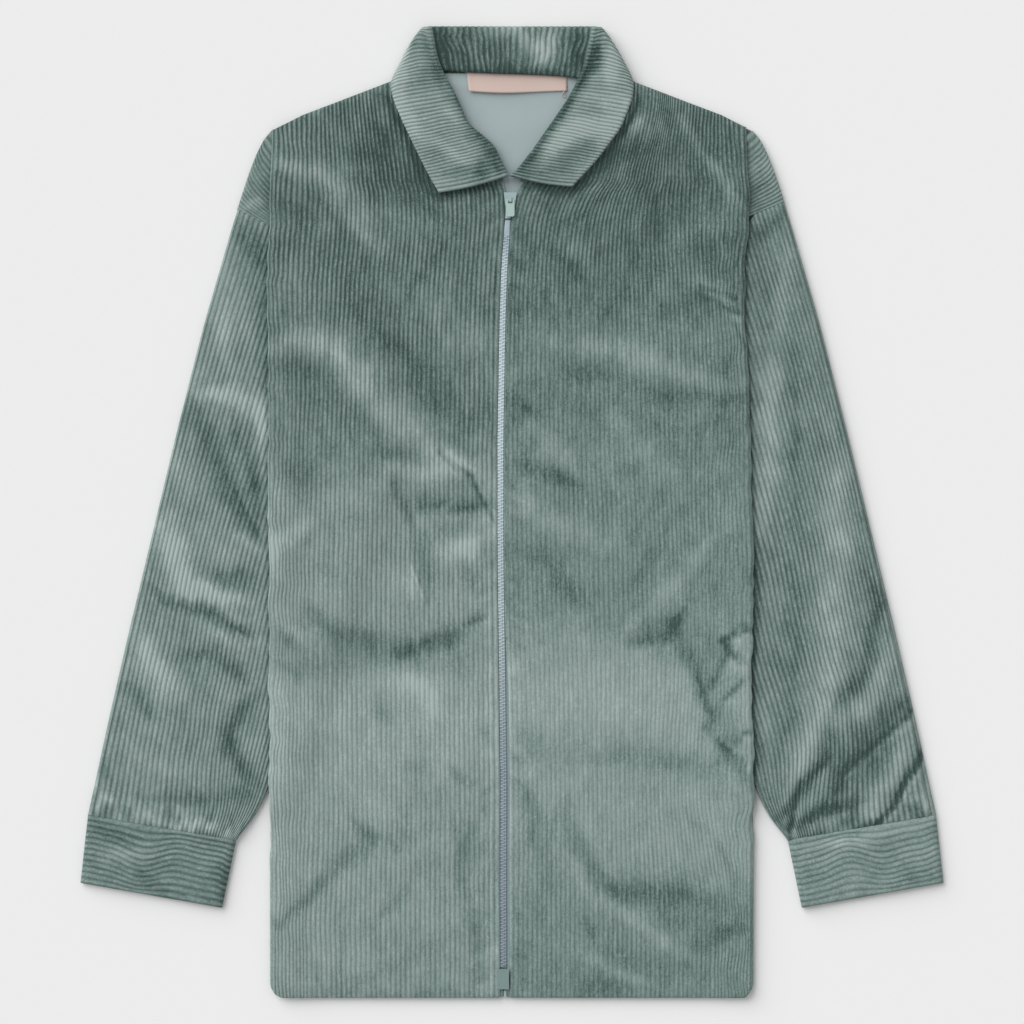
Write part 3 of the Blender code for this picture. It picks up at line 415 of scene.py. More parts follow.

# Where the wales run off the straight: millimetres outwards at shares of a front's width. They
# follow measured directions and pitches, and a script wrote the rows.
DRIFT_SHARES = ("0.15", "0.3", "0.5", "0.65", "0.8", "0.92")
DRIFT = {
    "left": Table(
        ("y", *DRIFT_SHARES),
        (-408.0, 1.9, 3.8, 6.3, 8.1, 9.9, 4.1),
        (-366.0, 1.9, 3.8, 6.3, 8.1, 10.0, 4.1),
        (-346.0, 1.9, 3.8, 6.3, 8.9, 11.6, 5.4),
        (-320.0, 1.9, 3.8, 6.3, 8.1, 9.9, 4.3),
        (-284.0, 1.6, 3.4, 5.4, 6.9, 8.6, 4.3),
        (-259.0, 1.4, 3.0, 4.7, 6.0, 7.3, 3.6),
        (-200.0, 1.6, 3.2, 5.0, 6.3, 7.6, 3.4),
        (-133.0, 1.6, 3.1, 5.0, 6.3, 7.4, 3.4),
        (-57.0, 1.4, 2.8, 4.6, 5.7, 7.0, 3.2),
        (0.0, 0.9, 2.1, 3.4, 4.1, 5.2, 2.2),
        (44.0, 0.9, 1.9, 2.8, 3.3, 3.6, 1.4),
        (94.0, 0.6, 1.2, 1.4, 1.1, 0.6, 0.1),
        (144.0, 0.6, 1.2, 1.4, 1.0, 0.0, -0.1),
        (195.0, 0.0, -0.2, -0.6, -1.2, -1.8, -1.0),
        (225.0, -0.6, -1.2, -2.0, -2.8, -3.0, -1.4),
        (250.0, -0.4, -1.0, -2.0, -2.8, -3.0, -1.4),
        (275.0, 0.5, 1.0, -0.5, -2.0, -3.0, -1.2),
        (300.0, 1.5, 4.0, 3.0, 0.0, -2.0, -0.5),
        (337.0, 3.0, 7.0, 8.0, 3.0, -0.5, 0.0),
        (400.0, 3.0, 9.0, 11.5, 6.0, 1.0, 0.0),
    ),
    "right": Table(
        ("y", *DRIFT_SHARES),
        (-408.0, 2.3, 4.6, 7.9, 10.5, 11.0, 4.5),
        (-320.0, 2.3, 4.6, 7.9, 10.5, 11.0, 5.0),
        (-280.0, 2.2, 4.4, 7.0, 7.0, 4.5, 1.5),
        (-234.0, 2.0, 4.0, 5.6, 3.2, -1.5, -2.0),
        (-190.0, 2.0, 4.4, 6.0, 4.6, 0.5, -1.5),
        (-158.0, 2.2, 4.8, 7.0, 7.0, 3.0, -0.5),
        (-120.0, 2.6, 5.3, 8.0, 8.5, 5.0, 1.5),
        (-57.0, 2.0, 4.0, 7.2, 7.0, 4.0, 0.5),
        (-7.0, 2.0, 4.0, 7.0, 6.5, 3.5, 0.5),
        (30.0, 1.6, 3.0, 5.4, 5.8, 4.6, 1.6),
        (94.0, 1.2, 2.5, 4.2, 5.4, 6.4, 4.0),
        (150.0, 1.0, 2.2, 4.2, 5.2, 5.8, 3.4),
        (200.0, 0.6, 1.6, 2.6, 3.4, 3.8, 2.2),
        (240.0, 1.2, 1.4, -0.2, -1.0, -0.4, 0.6),
        (262.0, 3.5, 4.5, 0.2, -1.6, -1.4, 0.0),
        (287.0, 9.5, 14.5, 5.0, -0.5, -2.0, -0.8),
        (312.0, 13.0, 19.0, 13.0, 2.0, -1.0, -1.0),
        (337.0, 14.0, 22.0, 19.0, 6.0, 0.0, -1.0),
        (400.0, 14.0, 23.0, 22.0, 9.0, 2.0, 0.0),
    ),
}

# Soft folds, as strokes: how much lighter each makes the cloth, then the line that each follows
# with half its width at each point. The strokes lift the cloth into folds and are painted into
# its tone as the folds' light and shade, with painted shadows along the collar leaves' edges.
# A script wrote this table, and 111 of its 293 strokes follow measured differences from the photo,
# which isn't allowed in this file: see report.md.
STROKES = {
    "front_left": (
        (-0.2, (-127, 402, 14), (-137, 362, 20), (-120, 327, 20), (-80, 306, 12)),
        (0.19, (-129, 402, 5), (-129, 388, 5)),
        (0.33, (-240, 349, 9), (-192, 337, 12), (-167, 312, 13), (-134, 264, 9)),
        (-0.12, (-230, 322, 9), (-212, 282, 13), (-164, 256, 13)),
        (0.12, (-228, 257, 16), (-214, 207, 24)),
        (-0.2, (-160, 222, 12), (-130, 177, 12), (-110, 160, 10),
            (-82, 130, 15), (-70, 110, 13), (-40, 85, 9)),
        (-0.12, (-114, 207, 4), (-72, 257, 4), (-55, 279, 4)),
        (-0.08, (-57, 250, 9), (-42, 234, 9)),
        (0.14, (-77, 214, 14), (-62, 172, 16), (-28, 170, 12)),
        (0.4, (-250, 164, 8), (-212, 175, 11), (-177, 166, 13), (-147, 127, 17),
            (-110, 90, 18), (-72, 57, 13), (-27, 34, 8)),
        (-0.13, (-230, 148, 12), (-196, 136, 12)),
        (-0.1, (-160, 110, 12), (-150, 84, 10)),
        (-0.18, (-147, 60, 8), (-104, 57, 6)),
        (0.26, (-120, 45, 6), (-92, 36, 9), (-60, 42, 11)),
        (-0.18, (-227, 42, 14), (-204, 26, 14)),
        (0.11, (-187, 12, 14), (-150, 18, 11)),
        (-0.22, (-118, 26, 5), (-103, -6, 7), (-89, -38, 9), (-84, -86, 7)),
        (-0.24, (-98, 10, 8), (-82, 6, 8), (-64, 12, 6)),
        (-0.26, (-68, 1, 6), (-48, 3, 7), (-22, 7, 7)),
        (-0.2, (-66, 53, 2.5), (-48, 38, 3), (-37, 34, 3)),
        (-0.16, (-44, 34, 4), (-25, 12, 4)),
        (0.22, (-66, -40, 11), (-42, -28, 10), (-20, -16, 6)),
        (0.17, (-250, 17, 6), (-242, -28, 8), (-235, -63, 7)),
        (0.19, (-240, -44, 7), (-220, -22, 9), (-202, -8, 6)),
        (-0.16, (-50, -50, 8), (-35, -76, 8)),
        (0.12, (-100, -60, 9), (-94, -78, 8)),
        (-0.29, (-200, -100, 7), (-172, -126, 12), (-132, -133, 14),
            (-100, -138, 10), (-62, -128, 8), (-30, -105, 5)),
        (-0.17, (-110, -140, 6), (-82, -128, 6), (-57, -122, 5)),
        (0.19, (-228, -116, 5), (-204, -128, 6)),
        (-0.19, (-235, -116, 4), (-217, -136, 4)),
        (-0.16, (-232, -150, 4), (-210, -164, 5)),
        (-0.11, (-207, -156, 12), (-127, -152, 9)),
        (0.14, (-117, -170, 11), (-82, -178, 13), (-79, -210, 8)),
        (-0.17, (-129, -186, 8), (-126, -216, 8)),
        (-0.14, (-107, -252, 7), (-84, -257, 5)),
        (-0.17, (-60, -260, 6), (-44, -273, 6)),
        (-0.11, (-36, -218, 6), (-26, -228, 5)),
        (-0.08, (-42, -278, 28), (-38, -378, 28)),
        (-0.24, (-157, -310, 8), (-140, -328, 7), (-167, -350, 8), (-190, -373, 8),
            (-212, -393, 6), (-232, -410, 6), (-248, -400, 4)),
        (-0.14, (-150, -320, 5), (-112, -336, 4)),
        (0.08, (-167, -372, 14), (-117, -350, 8), (-72, -324, 7)),
        (-0.14, (-96, -362, 4), (-116, -393, 6), (-138, -410, 6)),
        (-0.19, (-28, -300, 4), (-47, -326, 6), (-55, -354, 7), (-48, -383, 5)),
        (-0.17, (-36, -403, 6), (-35, -473, 8)),
        (-0.14, (-167, -476, 8), (-127, -458, 8), (-76, -434, 7)),
        (-0.1, (-172, -410, 5), (-170, -473, 6)),
        (-0.1, (-194, -456, 4), (-194, -476, 4)),
        (-0.24, (-114, 420, 4), (-100, 372, 5), (-78, 320, 6), (-66, 316, 6), (-14, 329, 5)),
        (-0.07, (-120, 402, 10), (-107, 362, 12), (-84, 306, 12)),
        # Painted shadow along the outer edge of the left collar leaf.
        (-0.42, (-124, 413, 2.4), (-110, 382, 2.4), (-94, 349, 2.6),
            (-77, 314, 3), (-42, 321, 2.6), (-8, 330, 2.2)),
        (0.08, (-240, 162, 13), (-236, 12, 14), (-238, -128, 12),
            (-236, -348, 14), (-228, -473, 14)),
        (0.07, (-242, 382, 22), (-172, 362, 26), (-212, 332, 20)),
        (0.07, (-212, -448, 20), (-72, -460, 16)),
        (0.09, (8, -388, 10), (12, -428, 12)),
        (0.08, (-140, 34, 14), (-112, 26, 12)),
        (0.08, (-126, -68, 14), (-92, -76, 14)),
        (-0.09, (-122, 104, 14), (-88, 66, 14)),
        (-0.12, (-60, -128, 11), (-54, -156, 11)),
        (-0.1, (-94, -232, 14), (-90, -288, 16), (-112, -346, 16)),
        (-0.13, (-212, -483, 5), (-14, -483, 5)),
        (0.12, (-228, 332, 12), (-216, 310, 12)),
        (0.07, (-146, 322, 12), (-112, 322, 10)),
        (-0.11, (-76, -18, 8), (-38, -20, 9)),
        (-0.09, (-78, 86, 10), (-74, 50, 9)),
        (-0.07, (-50, 50, 9), (-38, 46, 8)),
        (-0.08, (-112, -152, 12), (-102, -148, 10)),
        (-0.08, (-116, -460, 12), (-82, -468, 10)),
        (0.13, (-60, -54, 8), (-46, -40, 8), (-30, -29, 6)),
        (-0.07, (-68, 22, 10), (-40, 18, 9)),
        (-0.08, (-116, -140, 12), (-102, -148, 10)),
        (-0.07, (-78, -18, 9), (-46, -22, 9)),
        (0.07, (-220, 332, 12), (-212, 324, 12)),
        (0.07, (-116, 322, 10), (-108, 316, 10)),
        (-0.07, (-88, 86, 10), (-76, 76, 10)),
        (-0.08, (-84, -320, 12), (-80, -360, 12)),
        (0.08, (-214, -290, 12), (-206, -298, 10)),
    ),
    "front_right": (
        (-0.17, (80, 344, 10), (118, 362, 8), (143, 369, 6)),
        (-0.12, (128, 332, 9), (150, 276, 9)),
        (0.34, (122, 380, 5), (130, 396, 5)),
        (0.16, (145, 392, 5), (152, 380, 5)),
        (0.22, (160, 408, 4), (188, 362, 5), (208, 337, 6), (230, 304, 6)),
        (0.22, (236, 397, 9), (244, 347, 8)),
        (0.16, (53, 307, 5), (92, 324, 5)),
        (-0.13, (44, 284, 5), (73, 297, 4), (98, 315, 4)),
        (0.18, (56, 272, 7), (80, 245, 9)),
        (-0.11, (31, 264, 5), (58, 247, 4), (72, 228, 3)),
        (-0.11, (24, 220, 5), (36, 218, 5)),
        (0.2, (172, 234, 6), (204, 227, 6), (218, 202, 5), (230, 172, 5)),
        (0.12, (148, 226, 8), (156, 218, 8)),
        (-0.07, (184, 212, 5), (212, 208, 4)),
        (0.22, (40, 170, 9), (88, 164, 12), (118, 160, 14),
            (153, 144, 12), (193, 132, 10), (226, 126, 7)),
        (-0.13, (43, 140, 8), (88, 134, 8), (116, 124, 7)),
        (-0.11, (136, 116, 7), (183, 116, 5)),
        (-0.14, (204, 104, 5), (238, 118, 5)),
        (-0.16, (4, 114, 6), (33, 97, 6)),
        (-0.08, (10, 136, 4), (24, 128, 4)),
        (0.23, (22, 88, 9), (48, 54, 9), (68, 38, 6)),
        (0.11, (86, 110, 9), (128, 62, 12), (172, 28, 15)),
        (-0.11, (143, 84, 5), (178, 76, 5), (208, 92, 4)),
        (-0.26, (6, 50, 5), (33, 37, 7), (70, 22, 6)),
        (0.22, (2, 18, 7), (33, -8, 12), (68, -22, 13)),
        (-0.16, (-4, -30, 8), (33, -48, 8), (53, -73, 10), (70, -94, 8)),
        (0.16, (82, -28, 10), (116, -44, 10)),
        (-0.13, (146, -28, 8), (133, -63, 9), (108, -82, 8)),
        (0.17, (196, -28, 7), (168, -68, 10), (138, -98, 8), (114, -116, 5)),
        (0.07, (183, -8, 18), (233, -6, 9)),
        (-0.41, (120, -130, 5), (153, -123, 9), (170, -100, 5)),
        (-0.32, (160, -116, 9), (178, -143, 10), (191, -173, 8)),
        (-0.3, (186, -180, 6), (203, -163, 5), (213, -138, 4), (223, -120, 4), (242, -110, 3)),
        (-0.29, (208, -130, 4), (232, -152, 3)),
        (-0.29, (191, -182, 6), (204, -204, 6), (192, -226, 4)),
        (-0.26, (220, -180, 3), (242, -160, 3)),
        (-0.24, (221, -230, 3), (242, -216, 3)),
        (0.24, (218, -156, 6), (226, -146, 5)),
        (0.17, (220, -194, 5), (230, -188, 5)),
        (0.12, (210, -226, 3), (228, -243, 3)),
        (-0.2, (194, -218, 4), (218, -243, 5), (233, -258, 6), (245, -278, 5)),
        (0.11, (201, -240, 3), (226, -276, 3)),
        (-0.18, (83, -250, 8), (128, -243, 10), (188, -260, 10)),
        (-0.1, (18, -218, 12), (30, -233, 12)),
        (-0.19, (16, -274, 5), (23, -308, 8), (18, -328, 6), (25, -344, 6)),
        (-0.12, (33, -356, 11), (39, -383, 8)),
        (-0.25, (48, -300, 11), (68, -338, 9), (83, -363, 8), (103, -378, 9),
            (128, -380, 12), (168, -383, 12), (214, -394, 9)),
        (-0.17, (143, -398, 9), (188, -413, 12), (224, -418, 9)),
        (-0.2, (176, -434, 9), (203, -430, 9), (226, -418, 8), (238, -406, 6)),
        (0.17, (58, -348, 6), (78, -383, 7), (108, -403, 7), (143, -423, 7), (173, -442, 4)),
        (-0.17, (82, -426, 6), (66, -406, 5)),
        (-0.1, (94, -442, 8), (138, -448, 8), (183, -460, 7)),
        (0.17, (66, -442, 5), (98, -460, 6), (143, -475, 4)),
        (-0.14, (73, -474, 7), (113, -479, 7)),
        (-0.1, (210, -334, 5), (226, -372, 5)),
        (-0.07, (174, -304, 4), (218, -336, 4)),
        (0.06, (184, -284, 11), (210, -310, 11)),
        (-0.22, (12, 332, 5), (60, 322, 6), (88, 342, 6), (108, 372, 4)),
        (-0.09, (48, 312, 9), (88, 326, 10)),
        # Painted shadow along the outer edge of the right collar leaf.
        (-0.46, (2, 330, 2.2), (33, 325, 2.6), (61, 320, 3), (76, 335, 2.6),
            (90, 351, 2.6), (113, 382, 2.4), (126, 415, 2.2)),
        (-0.19, (194, -124, 12), (210, -158, 14), (218, -213, 13), (212, -248, 10)),
        (-0.11, (18, -293, 14), (40, -338, 16)),
        (-0.12, (210, 146, 12), (216, 112, 12)),
        (0.13, (128, 384, 9), (148, 372, 10)),
        (-0.14, (152, -138, 12), (182, -150, 12), (194, -188, 12),
            (210, -240, 12), (204, -280, 12)),
        (-0.07, (40, -336, 10), (48, -350, 10)),
        (-0.08, (194, 288, 10), (190, 272, 10)),
        (-0.09, (192, 120, 10), (200, 110, 10)),
        (0.09, (54, 86, 11), (64, 80, 10)),
        (-0.07, (126, 86, 10), (128, 78, 10)),
        (-0.09, (190, -118, 11), (200, -128, 10)),
        (-0.07, (192, 18, 10), (198, 12, 10)),
        (-0.07, (156, -152, 10), (164, -160, 10)),
        (-0.09, (226, -186, 9), (230, -194, 9)),
        (-0.07, (192, -254, 11), (228, -258, 10)),
        (-0.06, (92, -120, 12), (100, -128, 10)),
        (0.09, (228, 328, 9), (226, 316, 9)),
        (-0.08, (128, -106, 16), (174, -124, 14), (192, -144, 10)),
        (-0.06, (98, -112, 14), (138, -122, 12)),
        (-0.09, (214, -388, 12), (230, -392, 12)),
        (0.09, (222, -232, 8), (214, -240, 8)),
    ),
    "sleeve_left": (
        (0.14, (-287, 260, 10), (-290, 220, 12)),
        (0.26, (-290, 200, 10), (-286, 164, 9)),
        (-0.19, (-274, 290, 8), (-266, 270, 8)),
        (-0.29, (-258, 290, 7), (-250, 257, 8), (-247, 227, 6)),
        (-0.19, (-249, 227, 6), (-250, 182, 6), (-250, 130, 5)),
        (0.36, (-310, 115, 7), (-277, 119, 10), (-257, 110, 9), (-250, 82, 8), (-250, 57, 5)),
        (-0.29, (-319, 100, 11), (-300, 62, 12), (-284, 22, 12), (-267, -8, 10), (-252, -33, 5)),
        (-0.24, (-276, 92, 7), (-262, 42, 8), (-254, -3, 7)),
        (-0.17, (-332, 97, 8), (-334, 78, 7)),
        (0.19, (-344, 60, 8), (-327, 30, 12)),
        (0.43, (-346, -12, 13), (-334, -48, 15), (-327, -73, 11), (-297, -84, 8), (-258, -90, 5)),
        (0.26, (-280, -20, 6), (-250, -40, 5)),
        (-0.24, (-302, -62, 6), (-272, -66, 10), (-254, -71, 8)),
        (-0.31, (-366, -76, 4), (-347, -88, 7), (-312, -98, 7), (-282, -113, 6), (-250, -122, 5)),
        (0.2, (-304, -120, 5), (-268, -135, 5)),
        (-0.28, (-326, -144, 8), (-297, -143, 7), (-277, -158, 7), (-264, -172, 4)),
        (0.31, (-376, -122, 11), (-357, -158, 14), (-340, -182, 11)),
        (0.19, (-298, -176, 9), (-284, -182, 8)),
        (-0.16, (-392, -172, 6), (-372, -188, 8), (-359, -204, 7)),
        (-0.39, (-254, -185, 5), (-272, -203, 8), (-284, -216, 8),
            (-280, -240, 8), (-264, -263, 8), (-252, -272, 5)),
        (0.19, (-386, -230, 8), (-362, -253, 9), (-328, -260, 9)),
        (-0.2, (-409, -252, 6), (-396, -271, 5)),
        (-0.22, (-370, -284, 7), (-332, -288, 6), (-297, -288, 8), (-256, -280, 7)),
        (0.22, (-414, -273, 5), (-397, -298, 6), (-385, -314, 4)),
        (0.29, (-386, -309, 4), (-342, -313, 5), (-297, -316, 6), (-280, -324, 4)),
        (0.12, (-260, -230, 5), (-254, -240, 5)),
        (0.11, (-280, -36, 12), (-272, -48, 10)),
        (0.15, (-286, -100, 10), (-262, -110, 9)),
        (-0.19, (-264, 38, 8), (-260, 20, 8)),
        (0.09, (-366, 0, 10), (-362, -28, 10)),
        (-0.13, (-266, 274, 10), (-262, 222, 10)),
        (-0.09, (-398, -204, 10), (-394, -220, 8)),
        (-0.1, (-262, -266, 9), (-266, -288, 9)),
        (-0.08, (-366, -272, 9), (-362, -288, 9)),
        (0.11, (-312, -18, 10), (-282, -50, 10)),
        (0.07, (-256, -114, 8), (-252, -128, 8)),
        (0.08, (-282, -186, 10), (-280, -194, 10)),
        (0.09, (-286, -320, 9), (-282, -314, 9)),
        (0.1, (-284, 156, 9), (-280, 146, 9)),
        (-0.08, (-250, -252, 8), (-248, -262, 8)),
        (-0.08, (-262, -18, 8), (-250, -20, 8)),
        (0.07, (-250, -88, 8), (-250, -128, 8)),
    ),
    "sleeve_right": (
        (-0.22, (238, 272, 8), (263, 287, 8), (273, 299, 5)),
        (0.12, (278, 257, 6), (268, 202, 7), (262, 177, 7)),
        (0.29, (256, 150, 9), (258, 92, 11), (256, 52, 9), (253, 12, 9), (250, -26, 7)),
        (-0.12, (285, 187, 8), (280, 132, 8), (283, 82, 8), (283, 32, 8), (284, -28, 8)),
        (0.12, (316, 100, 8), (320, 80, 8)),
        (0.26, (328, 52, 11), (320, -3, 14), (326, -33, 14)),
        (0.29, (326, -33, 15), (323, -88, 15), (320, -148, 17), (313, -178, 14),
            (300, -228, 11), (288, -258, 9), (271, -292, 5)),
        (-0.24, (243, -33, 5), (245, -78, 6), (243, -108, 5),
            (240, -188, 5), (245, -248, 5), (240, -283, 4)),
        (-0.14, (282, -58, 7), (283, -138, 9), (278, -208, 6), (264, -253, 5)),
        (-0.1, (260, -140, 9), (266, -156, 9)),
        (0.14, (258, -178, 5), (252, -224, 5)),
        (-0.31, (356, -63, 6), (366, -88, 7), (358, -128, 8),
            (356, -158, 7), (338, -178, 7), (322, -190, 5)),
        (0.24, (381, -130, 6), (368, -168, 9), (348, -198, 10), (324, -212, 7)),
        (-0.44, (398, -186, 7), (371, -217, 16), (346, -246, 18), (334, -272, 15)),
        (-0.46, (318, -220, 7), (310, -248, 7), (298, -268, 6), (283, -288, 6), (264, -310, 3)),
        (-0.53, (344, -291, 5), (318, -296, 7), (300, -303, 6), (278, -316, 4)),
        (-0.24, (326, -248, 9), (326, -283, 8)),
        (0.24, (356, -300, 5), (368, -285, 7), (383, -258, 8), (395, -233, 5)),
        (-0.53, (412, -240, 4), (402, -258, 4), (392, -272, 4),
            (380, -296, 3), (366, -309, 3), (350, -315, 3)),
        (0.19, (410, -278, 7), (418, -296, 7)),
        (-0.17, (346, 0, 5), (354, -6, 5)),
        (0.15, (350, -134, 9), (358, -156, 9)),
        (0.17, (346, -194, 10), (360, -218, 10)),
        (0.11, (382, -204, 9), (392, -248, 9)),
        (0.11, (366, -302, 10), (392, -302, 10)),
        (-0.11, (246, 277, 10), (250, 192, 10)),
        (0.06, (294, -286, 9), (300, -296, 8)),
        (-0.07, (364, -288, 10), (400, -292, 10)),
        (0.08, (328, -254, 10), (334, -262, 9)),
        (-0.08, (364, -14, 9), (368, -26, 9)),
        (0.06, (330, -222, 10), (396, -224, 10)),
        (0.07, (426, -290, 8), (432, -294, 8)),
        (-0.07, (346, -16, 9), (364, -20, 9)),
        (0.06, (340, -258, 9), (334, -264, 9)),
    ),
    "shoulder_left": (
        (0.17, (-268, 352, 9), (-274, 317, 8)),
        (0.22, (-266, 304, 4), (-250, 312, 5)),
        (-0.22, (-246, 330, 6), (-245, 300, 5)),
    ),
    "shoulder_right": (
        (0.19, (258, 362, 9), (266, 314, 8)),
        (-0.17, (242, 330, 7), (242, 300, 6)),
        (-0.09, (260, 326, 9), (266, 312, 9)),
    ),
    "cuff_left": (
        (-0.1, (-422, -316, 8), (-387, -326, 8)),
        (0.24, (-408, -344, 8), (-362, -340, 8)),
        (-0.1, (-376, -372, 9), (-348, -356, 8)),
        (-0.14, (-290, -356, 7), (-290, -380, 7)),
        (-0.07, (-376, -372, 12), (-342, -384, 12)),
    ),
    "cuff_right": (
        (0.24, (280, -337, 4), (338, -329, 5), (388, -318, 5), (426, -308, 4)),
        (0.11, (310, -354, 10), (328, -352, 10)),
        (-0.14, (393, -370, 9), (413, -366, 9)),
        (-0.07, (344, -344, 7), (393, -338, 7)),
    ),
    "collar_left": (
        (0.31, (-108, 470, 6), (-111, 452, 8)),
        (0.26, (-112, 442, 8), (-113, 406, 8), (-100, 384, 8)),
        (0.12, (-100, 384, 7), (-86, 360, 6)),
        (-0.31, (-88, 478, 4), (-76, 454, 6), (-65, 432, 6)),
        (-0.24, (-88, 442, 6), (-84, 428, 5)),
        (-0.48, (-60, 426, 4), (-47, 402, 4), (-32, 382, 5), (-16, 360, 6), (-11, 342, 5)),
        (0.17, (-65, 406, 5), (-54, 390, 5), (-38, 381, 4)),
        (0.14, (-86, 374, 7), (-62, 362, 6), (-40, 346, 5)),
        (-0.34, (-26, 352, 7), (-34, 332, 6)),
        (0.12, (-76, 334, 6), (-72, 324, 6)),
        (-0.22, (-108, 482, 6), (-82, 452, 7), (-60, 414, 7), (-42, 382, 7), (-12, 340, 6)),
        (0.11, (-114, 452, 9), (-108, 416, 10), (-92, 394, 9)),
        (-0.28, (-66, 334, 11), (-16, 344, 9)),
        (-0.09, (-38, 384, 8), (-22, 362, 8)),
        (-0.13, (-50, 402, 8), (-34, 382, 8)),
        (-0.11, (-82, 362, 8), (-68, 352, 8)),
        (-0.11, (-16, 358, 9), (-8, 344, 8)),
        (-0.09, (-78, 454, 10), (-68, 440, 10)),
        (-0.09, (-82, 362, 9), (-72, 348, 9)),
    ),
    "collar_right": (
        (0.24, (92, 474, 5), (98, 452, 7), (100, 420, 7)),
        (-0.29, (83, 460, 6), (78, 440, 7)),
        (-0.39, (76, 440, 7), (63, 420, 7), (53, 406, 7), (40, 388, 5)),
        (0.34, (30, 360, 7), (48, 372, 10), (68, 382, 10), (92, 392, 7)),
        (-0.26, (44, 346, 7), (63, 354, 8), (82, 366, 6)),
        (-0.34, (4, 340, 4), (28, 372, 4), (44, 396, 3)),
        (0.14, (90, 414, 7), (100, 400, 6)),
        (-0.31, (94, 486, 10), (74, 450, 10), (50, 408, 9), (24, 362, 9), (2, 334, 8)),
        (0.15, (116, 422, 8), (104, 390, 9), (88, 368, 8)),
        (-0.31, (4, 338, 9), (50, 336, 10)),
        (-0.2, (86, 482, 12), (74, 440, 12), (46, 400, 10)),
        (0.11, (112, 372, 10), (100, 352, 8)),
        (-0.11, (10, 352, 9), (28, 362, 9)),
        (-0.15, (92, 468, 9), (86, 450, 9)),
    ),
    "collar_back": (
        (-0.36, (-72, 482, 8), (-69, 438, 10)),
        (-0.17, (-46, 484, 4), (-50, 462, 5), (-40, 444, 5)),
        (0.29, (-28, 482, 9), (-4, 482, 9)),
        (0.31, (8, 478, 10), (28, 472, 13), (31, 458, 8)),
        (0.24, (44, 476, 5), (40, 460, 4), (24, 450, 4)),
        (-0.22, (50, 468, 4), (51, 444, 6)),
        (-0.36, (66, 482, 6), (64, 450, 8)),
        (0.12, (58, 468, 3), (56, 452, 3)),
        (-0.26, (-56, 439, 4), (-2, 439, 5), (60, 437, 5)),
        (0.14, (-74, 452, 4), (-60, 448, 6)),
        (0.31, (-4, 486, 10), (18, 472, 12), (44, 456, 12)),
        (-0.11, (-72, 442, 8), (48, 440, 8)),
    ),
}

# Painted highlight and shade lines beside the zip: how far from its middle, and how light.
EDGE_LIGHT_AND_SHADE = {
    "left": ((10.6, 0.16), (5.0, 0.1), (3.4, 0.35)),
    "right": ((4.4, -0.2), (6.0, 0.16), (9.0, 0.08)),
}
# Base tone of the other pieces: the painted sheen and shade of their pile.
PIECE_BASE = {
    "sleeve_left": 0.63,
    "sleeve_right": 0.55,
    "shoulder_left": 0.56,
    "shoulder_right": 0.57,
    "cuff_left": 0.5,
    "cuff_right": 0.59,
    "collar_left": 0.75,
    "collar_right": 0.77,
    "collar_back": 0.34,
}
RELIEF = 2.6  # millimetres that a stroke of 1 lifts the cloth by

# Sharper creases: the line, half the width, and how deep each is in millimetres. Each is also
# painted into the tone, as shade along it and a highlight on its flank below and to the right.
CREASES = {
    "front_left": (
        (((-72, 60), (-59, 46), (-49, 39), (-39, 33), (-30, 12), (-24, 4), (-19, -7)), 3.0, -0.9),
        (((-119, 28), (-99, -6)), 4.0, -0.35),
        (((-90, 4), (-76, 5), (-66, 11)), 4.0, -0.3),
        (((-62, 1), (-38, 4)), 3.5, -0.4),
        (((-101, -54), (-94, -72), (-88, -88)), 1.6, 0.5),
        (((-48, -112), (-26, -105)), 3.0, -0.6),
    ),
    "front_right": (
        (((208, -127), (239, -118)), 2.5, -0.8),
        (((210, -128), (228, -152)), 2.5, -0.8),
        (((187, -167), (199, -201)), 3.2, -0.5),
        (((230, -167), (211, -188)), 2.5, -0.8),
        (((205, -229), (233, -251)), 2.5, -0.8),
        (((227, -223), (240, -219)), 2.5, -0.6),
        (((188, 226), (223, 212)), 3.0, -0.6),
        (((190, 214), (226, 198)), 3.0, -0.6),
        (((223, 187), (233, 167)), 3.0, -0.8),
        (((223, 324), (238, 307)), 3.0, -0.7),
    ),
    "sleeve_left": (
        (((-254, -20), (-276, 20)), 3.0, -0.6),
        (((-258, -128), (-300, -98)), 3.0, -0.6),
    ),
    "sleeve_right": (
        (((412, -240), (402, -258), (392, -272), (380, -296), (366, -309)), 3.0, -1.0),
        (((288, -268), (278, -318)), 3.5, -0.9),
        (((400, -200), (330, -262)), 3.5, -0.8),
    ),
}


# ---------------------------------------------------------------- small maths


def smooth(share):
    share = np.clip(share, 0.0, 1.0)
    return share * share * (3.0 - 2.0 * share)


def rounded(share):
    share = np.clip(share, 0.0, 1.0)
    return np.sqrt(np.maximum(1.0 - (1.0 - share) ** 2, 0.0))


def mix(low, high, share):
    return low + (high - low) * share


def lattice(seed):
    return np.random.default_rng(seed).random((64, 64))


def cloud(x, y, seed):
    """Smooth noise from 0 to 1 with a cell of 1."""
    grid = lattice(seed)
    across = np.floor(x).astype(int)
    up = np.floor(y).astype(int)
    u = smooth(x - across)
    v = smooth(y - up)
    low = mix(grid[across % 64, up % 64], grid[(across + 1) % 64, up % 64], u)
    high = mix(grid[across % 64, (up + 1) % 64], grid[(across + 1) % 64, (up + 1) % 64], u)
    return mix(low, high, v)


def along_line(x, y, points):
    """Distance from a run of straight lines."""
    near = np.full(np.shape(x), 1e9)
    for (x0, y0), (x1, y1) in zip(points, points[1:]):
        dx = x1 - x0
        dy = y1 - y0
        place = np.clip(((x - x0) * dx + (y - y0) * dy) / (dx * dx + dy * dy), 0.0, 1.0)
        near = np.minimum(near, np.hypot(x - x0 - place * dx, y - y0 - place * dy))
    return near


def creased(rows, x, y, spread):
    """Sum of the creases at points in drawing units."""
    total = np.zeros(np.shape(x))
    for points, half, amount in rows:
        total += amount * smooth(1.0 - along_line(x, y, points) / (spread * half))
    return total


